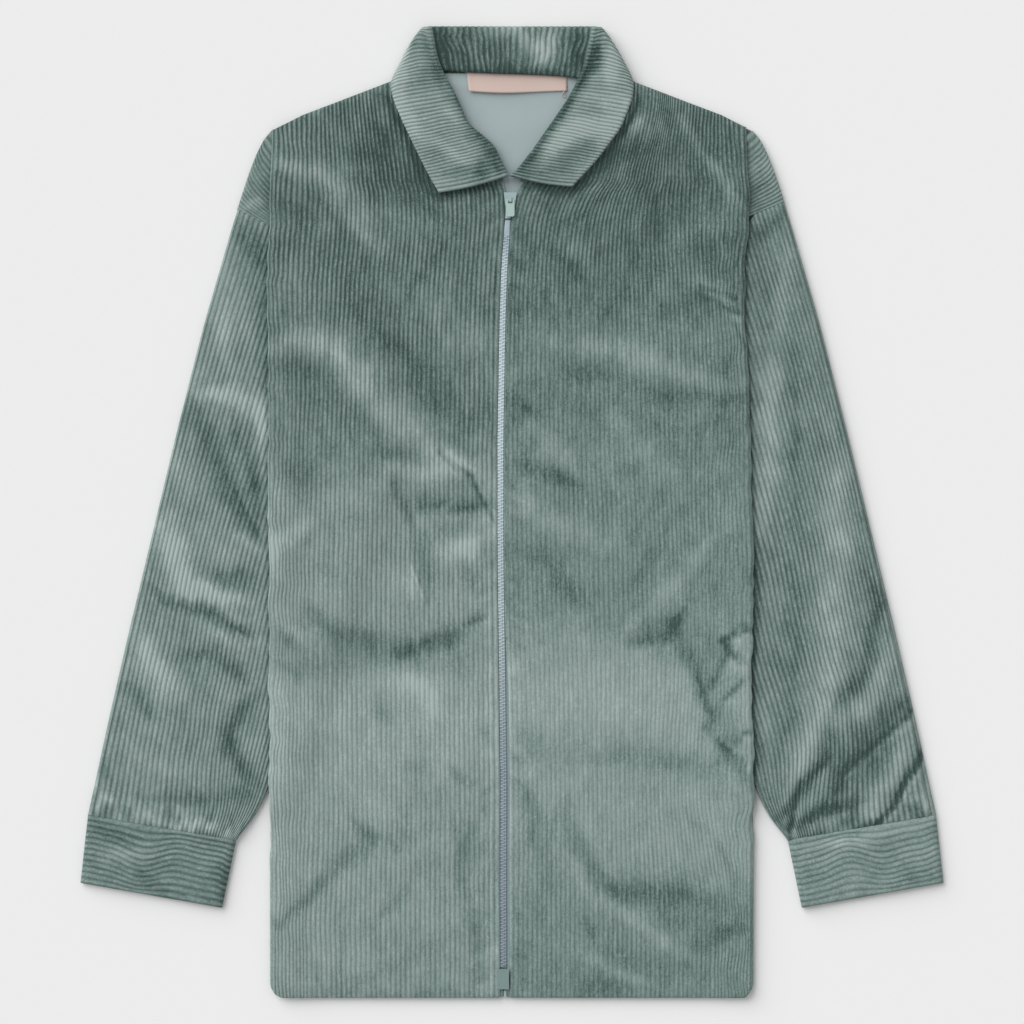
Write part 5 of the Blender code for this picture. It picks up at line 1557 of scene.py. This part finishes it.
def leaf_grid(side, places, rises, panel, steps, thickness):
    """Rows across a leaf: outer edge, panel, roll and the stand under it."""
    sign = SIDES[side]
    share = places / LEAF_WALES
    table = LEAVES[side]
    fan = 0.05 * smooth(share / 0.2) * (1.0 - smooth((share - 0.5) / 0.5))
    fan = fan + 0.03 * smooth(share / 0.1) * (1.0 - smooth((share - 0.15) / 0.3))
    lower = np.clip(share + fan, 0.0, 1.0)
    inner = [table.read("inner_" + axis, share, 0.04) for axis in "xy"]
    inner = np.stack(inner, axis=1)
    outer = [table.read("outer_" + axis, lower, 0.04) for axis in "xy"]
    outer = np.stack(outer, axis=1)
    span = outer - inner
    width = np.hypot(span[:, 0], span[:, 1])
    outward = span / width[:, None]
    edge_z = LEAF_FORM.read("edge_z", share)
    turn = np.radians(LEAF_FORM.read("turn", share))
    reach = LEAF_LOOP + COLLAR_WALL
    bow = LEAF_BULGE * share**6
    fine = thickness > 0.0
    columns = []
    marks = []
    for across in panel:
        flat = across * (width - reach)
        plan = outer - outward * flat[:, None]
        level = mix(
            rounded(flat / EDGE_ROUND), smooth(flat / width), smooth((share - 0.3) / 0.12)
        )
        z = mix(edge_z, LEAF_Z, level) if across < 1.0 else np.full(share.shape, LEAF_Z)
        y = plan[:, 1] - bow * np.sin(math.pi * np.minimum(flat / width, 1.0))
        arch = 4.0 * smooth(share / 0.06) * (1.0 - smooth((share - 0.08) / 0.4))
        y = y + arch * np.sin(math.pi * across**0.8)
        stray = 1.6 * (cloud(share * 9.0, np.full(share.shape, across * 3.0), 77) - 0.5)
        y = y + stray * math.sin(math.pi * across) * smooth((1.0 - share) / 0.1)
        z = z + 0.5 * relief("collar_" + side, sign * plan[:, 0], y)
        if fine:
            rim = rounded((flat + 0.02) / 1.6)
            z = z + thickness * mix(0.45, 1.0, rim) + rises * mix(0.3, 1.0, rim)
            scallop = 0.6 * (rises / WALE_HEIGHT - 0.6) * (1.0 - smooth(flat / 5.0))
            plan = plan + outward * scallop[:, None]
        columns.append((plan[:, 0], y, z))
        marks.append(across * 40.0)
    centre = inner + outward * reach
    for step in range(1, steps + 1):
        angle = turn * step / steps
        fade = max(1.0 - step / steps, 0.0)
        around = LEAF_LOOP + thickness + (rises * fade if fine else 0.0)
        plan = centre - outward * (around * np.sin(angle))[:, None]
        z = LEAF_Z - LEAF_LOOP + around * np.cos(angle)
        columns.append((plan[:, 0], plan[:, 1], z))
        marks.append(40.0 + 8.0 * step / steps)
    seam = np.maximum(neck_seam(inner, outward) - reach - NECK_GAP, 1.0)
    under = mix(SEAM, seam, LEAF_FORM.read("stand", share))
    around = LEAF_LOOP + thickness
    plan = centre - outward * (around * np.sin(turn) + under * np.cos(turn))[:, None]
    z = LEAF_Z - LEAF_LOOP + around * np.cos(turn) - under * np.sin(turn)
    columns.append((plan[:, 0], plan[:, 1], z))
    marks.append(56.0)
    x, y, z = (np.stack([column[axis] for column in columns], axis=1) for axis in range(3))
    cord = np.broadcast_to(places[:, None], x.shape)
    tone = nap_and_painted_light("collar_" + side, sign * x, y, cord)
    keys = list(panel) + [1.0 + step / steps for step in range(1, steps + 1)] + [3.0]
    groove_shade = groove_shade_depth("collar_" + side, sign * x, y, cord)
    plain = 0.0 if fine else 1.0
    return Grid(sign * x, y, z, cord, np.array(marks)[None, :], tone, groove_shade, plain, keys, share)


def make_leaf(side, material):
    places, rises = wale_places(LEAF_WALES)
    panel = np.concatenate([[0.0, 0.012, 0.03, 0.06, 0.1], np.linspace(0.15, 1.0, 24)])
    outer = leaf_grid(side, places, rises * WALE_HEIGHT, panel, 9, COLLAR_WALL)
    coarse = np.linspace(0.0, LEAF_WALES, 61)
    inner = leaf_grid(side, coarse, 0.0, panel[::3].tolist() + [1.0], 5, 0.0)
    made = wall("cloth_collar_" + side, outer, inner, material)
    return dress(made, "collar_" + side)


def stand_grid(places, rises, thickness, fine):
    """The collar behind the neck: its fall below, its top fold and its inner face."""
    place = places / STAND_WALES * 2.0 - 1.0
    side_share = np.abs(place)
    loop = (STAND_Z - COLLAR_WALL) / 2.0
    centre_z = COLLAR_WALL + loop
    crown = loop + COLLAR_WALL + STAND_WALE
    centre_y = COLLAR_TOP_Y - crown * math.cos(math.radians(STAND_TURN))
    fall_y = FALL_EDGE.read("y", side_share)
    stand_y = STAND_FOOT_Y + STAND_FOOT_RISE.read("rise", place, 0.2)
    turns = np.linspace(-90.0, 90.0, 9)
    stops = [(fall_y, -90.0, False, 0.0)]
    stops += [(np.full(place.shape, centre_y), turn, turn > 0.0, 0.0) for turn in turns]
    downs = np.linspace(0.0, 1.0, 22 if fine else 8)[1:]
    stops += [(mix(centre_y, stand_y, down), 90.0, True, down) for down in downs]
    columns = []
    marks = []
    for y, degrees, upper, down in stops:
        angle = math.radians(degrees)
        lift = thickness + (rises * (1.0 if upper else 0.0) if fine else 0.0)
        around = loop + lift
        y = y + around * math.cos(angle)
        half = STAND_HALF.read("stand" if upper else "fall", y)
        wander = 0.0
        z = centre_z + around * math.sin(angle)
        if upper:
            wander = 5.0 * (cloud(place * 5.0 + 4.0, y / 16.0, 81) - 0.5)
            wander = wander * smooth((1.0 - side_share) / 0.15) * smooth(down / 0.2)
            dent = cloud(place * 6.0 + 9.0, y / 20.0, 82) - 0.6
            z = z + 0.7 * dent * smooth(down / 0.2)
        if fine and down > 0.94:
            z = z - 0.8 * (down - 0.94) / 0.06
        columns.append((place * half + wander, y, z + np.zeros(place.shape)))
        marks.append(degrees / 10.0 + down * 40.0)
    x, y, z = (np.stack([column[axis] for column in columns], axis=1) for axis in range(3))
    cord = np.broadcast_to(places[:, None], x.shape)
    tone = nap_and_painted_light("collar_back", x, y, cord)
    groove_shade = groove_shade_depth("collar_back", x, y, cord)
    keys = np.linspace(0.0, 1.0, x.shape[1])
    plain = 0.0 if fine else 1.0
    return Grid(x, y, z, cord, np.array(marks)[None, :], tone, groove_shade, plain, keys, place)


def make_stand(material):
    places, rises = wale_places(STAND_WALES)
    outer = stand_grid(places, rises * STAND_WALE, COLLAR_WALL, True)
    coarse = np.linspace(0.0, STAND_WALES, 41)
    inner = stand_grid(coarse, 0.0, 0.0, False)
    made = wall("cloth_collar_back", outer, inner, material)
    return dress(made, "collar_back")


# ---------------------------------------------------------------- lining, label and zip


def plain_wall(name, x, y, top, bottom, material, along=None):
    """A thin piece between two grids of the same size."""
    rows = np.linspace(0.0, 1.0, x.shape[0])
    across = np.linspace(0.0, 1.0, x.shape[1])
    cord = x / 4.0
    along = y if along is None else along
    outer = Grid(x, y, top, cord, along, 0.5, 1.0, 1.0, across, rows)
    inner = Grid(x, y, bottom, cord, along, 0.5, 1.0, 1.0, across, rows)
    return wall(name, outer, inner, material)


def make_lining(material):
    y = np.linspace(250.0, 371.0, 60)[:, None]
    share = np.linspace(-1.0, 1.0, 60)[None, :]
    x = share * LINING_HALF.read("half", y, 4.0)
    y = np.broadcast_to(y, x.shape)
    wave = 0.5 * (cloud(x / 26.0, y / 18.0, 91) - 0.5) * smooth((1.0 - np.abs(share)) / 0.3)
    wave += 0.35 * smooth(1.0 - np.abs(y - 356.0 + 0.06 * x) / 7.0) * smooth((350.0 - y) / -4.0)
    wave = np.maximum(wave, -0.15)
    top = LINING_Z + THIN + wave
    made = plain_wall("lining_neck", x, y, top, np.full(x.shape, LINING_Z - 0.1), material)
    return dress(made, "neck_lining")


def make_label(material):
    share = np.linspace(0.0, 1.0, 48)[None, :]
    down = np.linspace(0.0, 1.0, 14)[:, None]
    x = mix(LABEL_EDGE.read("top_x", share), LABEL_EDGE.read("foot_x", share), down)
    y = mix(LABEL_EDGE.read("top_y", share), LABEL_EDGE.read("foot_y", share, 0.15), down)
    curl = 1.5 * down**2 + 0.5 * np.sin(share * 5.0 + 0.4) * down
    curl = curl + 0.3 * smooth(1.0 - share / 0.06) * down
    rim = 0.12 * (1.0 - rounded((1.0 - down) * 14.0)) + 0.12 * (1.0 - rounded(share * 30.0))
    top = LABEL_Z + THIN + curl - rim
    made = plain_wall("label_neck", x, y, top, LABEL_Z + curl, material, along=share * 84.0)
    return dress(made, "neck_label")


def make_thread(material):
    """The loose end of thread at the label's corner."""
    path = [(42.5, 354.6, 4.4), (43.6, 352.0, 4.0), (45.4, 350.2, 3.4), (44.8, 348.6, 3.0)]
    path += [(42.4, 348.9, 2.9), (41.6, 350.6, 3.2), (43.0, 352.6, 3.9), (44.6, 354.4, 4.4)]
    curve = bpy.data.curves.new("label_thread", "CURVE")
    curve.dimensions = "3D"
    curve.bevel_depth = 0.24 * MM
    curve.bevel_resolution = 3
    curve.resolution_u = 8
    spline = curve.splines.new("NURBS")
    spline.points.add(len(path) - 1)
    spline.use_endpoint_u = True
    for point, place in zip(spline.points, path):
        point.co = (place[0] * MM, place[1] * MM, place[2] * MM, 1.0)
    curve.materials.append(material)
    made = bpy.data.objects.new("label_thread", curve)
    bpy.context.scene.collection.objects.link(made)
    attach(made, "jacket")
    return made


def make_tape(side, material):
    sign = SIDES[side]
    y = np.linspace(HEM_Y + THIN, TAPE_TOP_Y, 150)[:, None]
    share = np.linspace(0.0, 1.0, 13)[None, :]
    line = ZIP_LINE.read("x", y, 14.0)
    open_by = mix(SEAM, TAPE_OPEN, smooth((y - CHAIN_TOP_Y) / TAPE_OPEN_OVER))
    x = line + sign * (open_by + TAPE_WIDTH * share)
    bead = 0.35 * smooth(1.0 - np.abs(share * TAPE_WIDTH - 0.9) / 1.1)
    bead = bead * smooth((CHAIN_TOP_Y - y) / -6.0)
    y = np.broadcast_to(y, x.shape)
    made = plain_wall(
        "tape_" + side, x, y, TAPE_Z + THIN + bead + 0.0 * x, TAPE_Z + 0.0 * x, material
    )
    return dress(made, "zip_tape_" + side)


def make_chain(material):
    """Moulded teeth in two rows, each locked between two of the other row."""
    section = (
        (-2.75, 0.34, 0.55),
        (-2.55, 0.62, 0.9),
        (-1.7, 0.66, 1.0),
        (-0.6, 0.5, 0.86),
        (0.1, 0.66, 0.86),
        (0.65, 0.62, 0.7),
        (0.85, 0.3, 0.4),
    )
    y = np.linspace(CHAIN_END_Y, CHAIN_TOP_Y, 200)[:, None]
    share = np.linspace(-1.0, 1.0, 9)[None, :]
    x = ZIP_LINE.read("x", y, 14.0) + CHAIN_HALF * share
    y = np.broadcast_to(y, x.shape)
    smooth_top = 0.75 * smooth((y - 233.0) / 3.0) * rounded(1.6 * (1.0 - np.abs(share)))
    cord = Grid(x, y, CHAIN_Z + 0.6 + smooth_top, 0, y, 0, 0, 0, range(9), range(200))
    below = Grid(x, y, np.full(x.shape, CHAIN_Z), 0, y, 0, 0, 0, range(9), range(200))
    strip = wall("zip_cord", cord, below, material)
    points = [tuple(vertex.co / MM) for vertex in strip.data.vertices]
    faces = [tuple(face.vertices) for face in strip.data.polygons]
    bpy.data.objects.remove(strip)
    around = 8
    count = int((CHAIN_TOP_Y - CHAIN_END_Y) / TOOTH_PITCH)
    for number in range(2 * count):
        sign = 1.0 if number % 2 else -1.0
        y = CHAIN_END_Y + 1.2 + (number / 2.0 + 0.25) * TOOTH_PITCH
        if y > 234.0:
            continue
        line = float(ZIP_LINE.read("x", y, 14.0))
        start = len(points)
        for reach, half, tall in section:
            for step in range(around):
                angle = 2.0 * math.pi * (step + 0.5) / around
                across = math.copysign(abs(math.cos(angle)) ** 0.6, math.cos(angle))
                up = math.copysign(abs(math.sin(angle)) ** 0.6, math.sin(angle))
                z = CHAIN_Z + CHAIN_HEIGHT / 2.0 * (1.0 + up * tall)
                points.append((line - sign * reach * 0.94, y + half * across, z))
        last = len(section) - 1
        for row in range(last):
            for step in range(around):
                a = start + row * around + step
                b = start + row * around + (step + 1) % around
                faces.append((a, b, b + around, a + around))
        faces.append(tuple(start + step for step in range(around)))
        faces.append(tuple(start + last * around + step for step in reversed(range(around))))
    made = new_object("zip_teeth", points, faces, None, material)
    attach(made, "jacket")
    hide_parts("zip_chain")
    return made


def make_shadow_lip(material):
    """A dark lip at the slider's lower end, standing for the shadow beneath the pull: painted
    shadow, a dark line across the chain.
    """
    x = np.linspace(-1.0, 1.0, 9)[None, :]
    y = np.linspace(0.0, 1.0, 6)[:, None]
    line = float(ZIP_LINE.read("x", 246.6, 14.0))
    height = CHAIN_Z + 0.9
    height = height + rounded(1.3 * (1.0 - np.abs(x))) * rounded(2.0 * np.minimum(y, 1.0 - y))
    xs = line + 3.6 * x + 0.0 * y
    ys = 245.2 + 1.8 * y + 0.0 * x
    over = Grid(xs, ys, height, 0, ys, 0, 0, 0, range(9), range(6))
    below = Grid(xs, ys, np.full(xs.shape, CHAIN_Z + 0.2), 0, ys, 0, 0, 0, range(9), range(6))
    made = wall("slider_lip_shadow", over, below, material)
    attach(made, "jacket")
    return made


def make_hardware(node, body, width, material):
    """The solid's own form with its edges rounded off."""
    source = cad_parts[node]
    mesh = source.data.copy()
    mesh.name = node + "_rounded"
    made = bpy.data.objects.new(node + "_rounded", mesh)
    bpy.context.scene.collection.objects.link(made)
    made.matrix_world = source.matrix_world
    mesh.materials.clear()
    mesh.materials.append(material)
    soft = made.modifiers.new("edges", "BEVEL")
    soft.width = width * MM
    soft.segments = 3
    soft.limit_method = "ANGLE"
    soft.angle_limit = math.radians(35.0)
    bpy.context.view_layer.update()
    graph = bpy.context.evaluated_depsgraph_get()
    done = bpy.data.meshes.new_from_object(made.evaluated_get(graph))
    made.modifiers.clear()
    made.data = done
    done.shade_smooth()
    done.set_sharp_from_angle(angle=math.radians(50.0))
    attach(made, body)
    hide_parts(node)
    return made


# ---------------------------------------------------------------- materials


def linear(red, green, blue):
    def one(value):
        value = value / 255.0
        return value / 12.92 if value <= 0.04045 else ((value + 0.055) / 1.055) ** 2.4

    return (one(red), one(green), one(blue), 1.0)


class Nodes:
    """A material's node tree, with one call for each node."""

    def __init__(self, name):
        self.material = bpy.data.materials.new(name)
        self.material.use_nodes = True
        self.tree = self.material.node_tree
        self.shader = self.tree.nodes["Principled BSDF"]

    def add(self, kind, inputs=None, **settings):
        made = self.tree.nodes.new(kind)
        for key, value in settings.items():
            setattr(made, key, value)
        for key, value in (inputs or {}).items():
            self.put(made.inputs[key], value)
        return made

    def put(self, socket, value):
        if hasattr(value, "is_output"):
            self.tree.links.new(value, socket)
        else:
            socket.default_value = value

    def maths(self, operation, first, second=0.0, third=0.0):
        made = self.add("ShaderNodeMath", operation=operation)
        for socket, value in zip(made.inputs, (first, second, third)):
            self.put(socket, value)
        return made.outputs[0]

    def fact(self, name):
        return self.add("ShaderNodeAttribute", attribute_name=name).outputs["Fac"]

    def vector(self, x, y, z=0.0):
        made = self.add("ShaderNodeCombineXYZ", {"X": x, "Y": y, "Z": z})
        return made.outputs[0]

    def noise(self, vector, scale, detail=2.0, rough=0.5):
        inputs = {"Vector": vector, "Scale": scale, "Detail": detail, "Roughness": rough}
        return self.add("ShaderNodeTexNoise", inputs).outputs["Fac"]

    def ramp(self, value, stops):
        made = self.add("ShaderNodeValToRGB", {"Fac": value})
        made.color_ramp.interpolation = "EASE"
        while len(made.color_ramp.elements) < len(stops):
            made.color_ramp.elements.new(0.5)
        for element, (place, colour) in zip(made.color_ramp.elements, stops):
            element.position = place
            element.color = colour
        return made.outputs["Color"]

    def blend(self, share, first, second, kind="MIX"):
        made = self.add("ShaderNodeMix", data_type="RGBA", blend_type=kind)
        self.put(made.inputs[0], share)
        self.put(made.inputs[6], first)
        self.put(made.inputs[7], second)
        return made.outputs[2]

    def bump(self, height, strength, distance, before=None):
        inputs = {"Height": height, "Strength": strength, "Distance": distance}
        if before is not None:
            inputs["Normal"] = before
        return self.add("ShaderNodeBump", inputs).outputs["Normal"]

    def finish(self, **sockets):
        for key, value in sockets.items():
            self.put(self.shader.inputs[key.replace("_", " ")], value)
        return self.material


# Colours of the cloth from tone 0 to 1; the tone carries painted sheen, light and shade besides
# random tone.
CLOTH_TONE_STOPS = (
    (0.0, linear(66, 86, 81)),
    (0.25, linear(95, 115, 110)),
    (0.5, linear(120, 140, 135)),
    (0.75, linear(144, 161, 157)),
    (1.0, linear(170, 185, 181)),
)


# Up the zip from the hem, 800 mm for the whole run; grey at the bar above the teeth.
TEETH_STOPS = (
    (0.0, linear(146, 162, 172)),
    (0.22, linear(158, 174, 184)),
    (0.42, linear(196, 212, 216)),
    (0.6, linear(214, 230, 236)),
    (0.76, linear(206, 222, 228)),
    (0.79, linear(178, 196, 204)),
    (0.82, linear(168, 186, 194)),
)


def corduroy():
    nodes = Nodes("corduroy")
    cord = nodes.fact("cord")
    along = nodes.fact("along")
    place = nodes.maths("FRACT", cord)
    off = nodes.maths("ABSOLUTE", nodes.maths("MULTIPLY_ADD", place, 2.0, -1.0))
    tone = nodes.fact("tone")
    lit = tone
    # Across each wale, 0 on its top and 1 at the bottom of its grooves: the mask for the painted
    # shade and highlight below.
    power = nodes.maths("MULTIPLY_ADD", lit, 2.2, 0.3)
    groove_shade = nodes.maths("POWER", off, power)
    flat = nodes.maths("DIVIDE", 1.0, nodes.maths("ADD", power, 1.0))
    coordinates = nodes.add("ShaderNodeTexCoord").outputs["Object"]
    pile = nodes.noise(coordinates, 950.0, 3.0, 0.65)
    tuft = nodes.noise(coordinates, 380.0, 2.0, 0.55)
    wide = nodes.maths("MULTIPLY", cord, 1.3)
    streak = nodes.noise(nodes.vector(wide, nodes.maths("MULTIPLY", along, 0.04)), 1.0, 2.0)
    wide = nodes.maths("MULTIPLY", cord, 3.1)
    brush = nodes.noise(nodes.vector(wide, nodes.maths("MULTIPLY", along, 0.17)), 1.0, 2.0)
    calm = nodes.maths("SUBTRACT", 1.4, lit)
    for value, amount in ((streak, 0.5), (brush, 0.55), (tuft, 0.45), (pile, 1.15)):
        amount = nodes.maths("MULTIPLY", calm, amount)
        tone = nodes.maths("MULTIPLY_ADD", nodes.maths("SUBTRACT", value, 0.5), amount, tone)
    # Painted highlight on the tops of the wales, balanced by painted shade in the grooves.
    crest_highlight = nodes.maths("SUBTRACT", flat, groove_shade)
    crest_highlight = nodes.maths("MULTIPLY", crest_highlight, nodes.maths("MULTIPLY", calm, nodes.fact("groove_shade")))
    tone = nodes.maths("MULTIPLY_ADD", crest_highlight, nodes.maths("MULTIPLY", brush, 0.36), tone)
    colour = nodes.ramp(tone, CLOTH_TONE_STOPS)
    # Grooves blended towards a deep green: partly the sparser pile's own darker colour, partly
    # painted shade.
    groove_shade_amount = nodes.maths("MULTIPLY_ADD", lit, -0.16, 0.44)
    groove_shade_amount = nodes.maths("MULTIPLY", groove_shade_amount, nodes.fact("groove_shade"))
    groove_shade_amount = nodes.maths("MULTIPLY", groove_shade_amount, nodes.maths("MULTIPLY_ADD", brush, 1.2, 0.4))
    groove_shade_amount = nodes.maths("MINIMUM", groove_shade_amount, 0.95)
    dark = nodes.maths("MULTIPLY", groove_shade, groove_shade_amount)
    colour = nodes.blend(dark, colour, linear(50, 66, 63))
    ridge = nodes.maths("SUBTRACT", 1.0, nodes.maths("POWER", off, 2.0))
    ridge = nodes.maths("MULTIPLY", ridge, nodes.fact("plain"))
    normal = nodes.bump(ridge, 0.9, 0.9 * MM)
    normal = nodes.bump(nodes.maths("ADD", pile, tuft), 0.35, 0.35 * MM, normal)
    return nodes.finish(
        Base_Color=colour,
        Roughness=0.92,
        Specular_IOR_Level=0.12,
        Sheen_Weight=0.35,
        Sheen_Roughness=0.45,
        Sheen_Tint=linear(196, 214, 206),
        Normal=normal,
    )


def woven(name, colour, dark, scale, roughness, sheen, specular):
    """A smooth, fine woven cloth."""
    nodes = Nodes(name)
    coordinates = nodes.add("ShaderNodeTexCoord").outputs["Object"]
    wave = nodes.add(
        "ShaderNodeTexWave",
        {"Vector": coordinates, "Scale": scale, "Distortion": 0.6, "Detail": 1.0},
        bands_direction="DIAGONAL",
    ).outputs["Fac"]
    soft = nodes.noise(coordinates, 45.0, 2.0)
    grain = nodes.noise(coordinates, 1400.0, 2.0)
    shade = nodes.maths("MULTIPLY_ADD", soft, 0.7, nodes.maths("MULTIPLY", grain, 0.3))
    mixed = nodes.blend(nodes.maths("MULTIPLY", shade, 0.55), colour, dark)
    normal = nodes.bump(nodes.maths("ADD", wave, grain), 0.25, 0.12 * MM)
    return nodes.finish(
        Base_Color=mixed,
        Roughness=roughness,
        Specular_IOR_Level=specular,
        Sheen_Weight=sheen,
        Normal=normal,
    )


def moulded(name, colour, dark, roughness, coat=0.0, metallic=0.0, stops=None):
    """Moulded plastic or enamel, with a faint mottle; `stops` are its colours up the jacket."""
    nodes = Nodes(name)
    coordinates = nodes.add("ShaderNodeTexCoord").outputs["Object"]
    soft = nodes.noise(coordinates, 160.0, 2.0)
    grain = nodes.noise(coordinates, 2600.0, 2.0)
    if stops:
        up = nodes.add("ShaderNodeSeparateXYZ", {"Vector": coordinates}).outputs["Y"]
        colour = nodes.ramp(nodes.maths("MULTIPLY_ADD", up, 1.25, 0.5), stops)
        dark = nodes.blend(0.12, colour, (0.0, 0.0, 0.0, 1.0))
    mixed = nodes.blend(nodes.maths("MULTIPLY", soft, 0.6), colour, dark)
    normal = nodes.bump(grain, 0.08, 0.05 * MM)
    return nodes.finish(
        Base_Color=mixed,
        Roughness=roughness,
        Metallic=metallic,
        Coat_Weight=coat,
        Coat_Roughness=0.2,
        Normal=normal,
    )


# ---------------------------------------------------------------- stage


def make_stage():
    nodes = Nodes("floor")
    nodes.finish(Base_Color=(0.92, 0.92, 0.92, 1.0), Roughness=0.95, Specular_IOR_Level=0.1)
    half = 3000.0
    corners = [(-half, -half, -0.05), (half, -half, -0.05)]
    corners += [(half, half, -0.05), (-half, half, -0.05)]
    mesh = bpy.data.meshes.new("floor")
    mesh.from_pydata([tuple(v * MM for v in corner) for corner in corners], [], [(0, 1, 2, 3)])
    mesh.materials.append(nodes.material)
    floor = bpy.data.objects.new("floor", mesh)
    bpy.context.scene.collection.objects.link(floor)

    world = bpy.data.worlds.new("studio")
    world.use_nodes = True
    world.node_tree.nodes["Background"].inputs["Color"].default_value = (1.0, 1.0, 1.0, 1.0)
    world.node_tree.nodes["Background"].inputs["Strength"].default_value = WORLD_LIGHT
    bpy.context.scene.world = world

    sun = bpy.data.lights.new("key", "SUN")
    sun.energy = KEY_LIGHT
    sun.angle = math.radians(KEY_SPREAD)
    lamp = bpy.data.objects.new("key", sun)
    lamp.rotation_mode = "QUATERNION"
    lamp.rotation_quaternion = (-Vector(KEY_FROM)).to_track_quat("-Z", "Y")
    bpy.context.scene.collection.objects.link(lamp)


WORLD_LIGHT = 0.47
KEY_LIGHT = 2.46
KEY_SPREAD = 60.0
KEY_FROM = (-1.05, 1.0, 1.0)


def make_camera():
    """Straight down, framed as 1024 units of 0.84 mm."""
    camera = bpy.data.cameras.new("camera")
    camera.lens = 110.0
    camera.sensor_width = 36.0
    width = 1024.0 * UNIT * MM
    distance = width * camera.lens / camera.sensor_width
    view = bpy.data.objects.new("camera", camera)
    view.location = (0.0, 0.0, distance + 6.0 * MM)
    view.rotation_euler = (0.0, 0.0, 0.0)
    bpy.context.scene.collection.objects.link(view)
    bpy.context.scene.camera = view
    camera.clip_end = 20.0


def main():
    make_camera()
    make_stage()
    bpy.context.scene.view_settings.view_transform = "Standard"
    cord = corduroy()
    lining = woven("lining", linear(172, 186, 188), linear(154, 170, 173), 900.0, 0.6, 0.2, 0.3)
    tape = woven("zip_tape", linear(160, 176, 178), linear(136, 154, 158), 1500.0, 0.7, 0.1, 0.2)
    satin = woven("label", linear(212, 190, 180), linear(196, 174, 164), 1700.0, 0.42, 0.2, 0.4)
    teeth = moulded("zip_teeth", None, None, 0.34, 0.15, stops=TEETH_STOPS)
    enamel = moulded("enamel", linear(178, 202, 196), linear(162, 188, 182), 0.3, 0.3)
    slider = moulded("slider", linear(168, 192, 192), linear(146, 170, 170), 0.22, 0.6)
    dull = moulded("box", linear(128, 150, 147), linear(114, 137, 134), 0.45, 0.1)
    mint = moulded("pin", linear(154, 186, 178), linear(138, 170, 162), 0.35, 0.2)
    # A dark material for the painted shadow beneath the pull.
    shade = moulded("lip", linear(66, 84, 88), linear(54, 72, 76), 0.5, 0.1)
    make_back(cord)
    for side in SIDES:
        make_front(side, cord)
        make_shoulder(side, cord)
        make_sleeve(side, cord)
        make_cuff(side, cord)
        make_leaf(side, cord)
        make_tape(side, tape)
    make_stand(cord)
    make_lining(lining)
    make_label(satin)
    make_thread(satin)
    make_chain(teeth)
    make_shadow_lip(shade)
    make_hardware("zip_slider", "jacket", 0.22, slider)
    make_hardware("zip_pull", "pull_tab", 0.25, enamel)
    make_hardware("zip_box", "jacket", 0.3, dull)
    make_hardware("zip_pin", "jacket", 0.3, mint)


main()
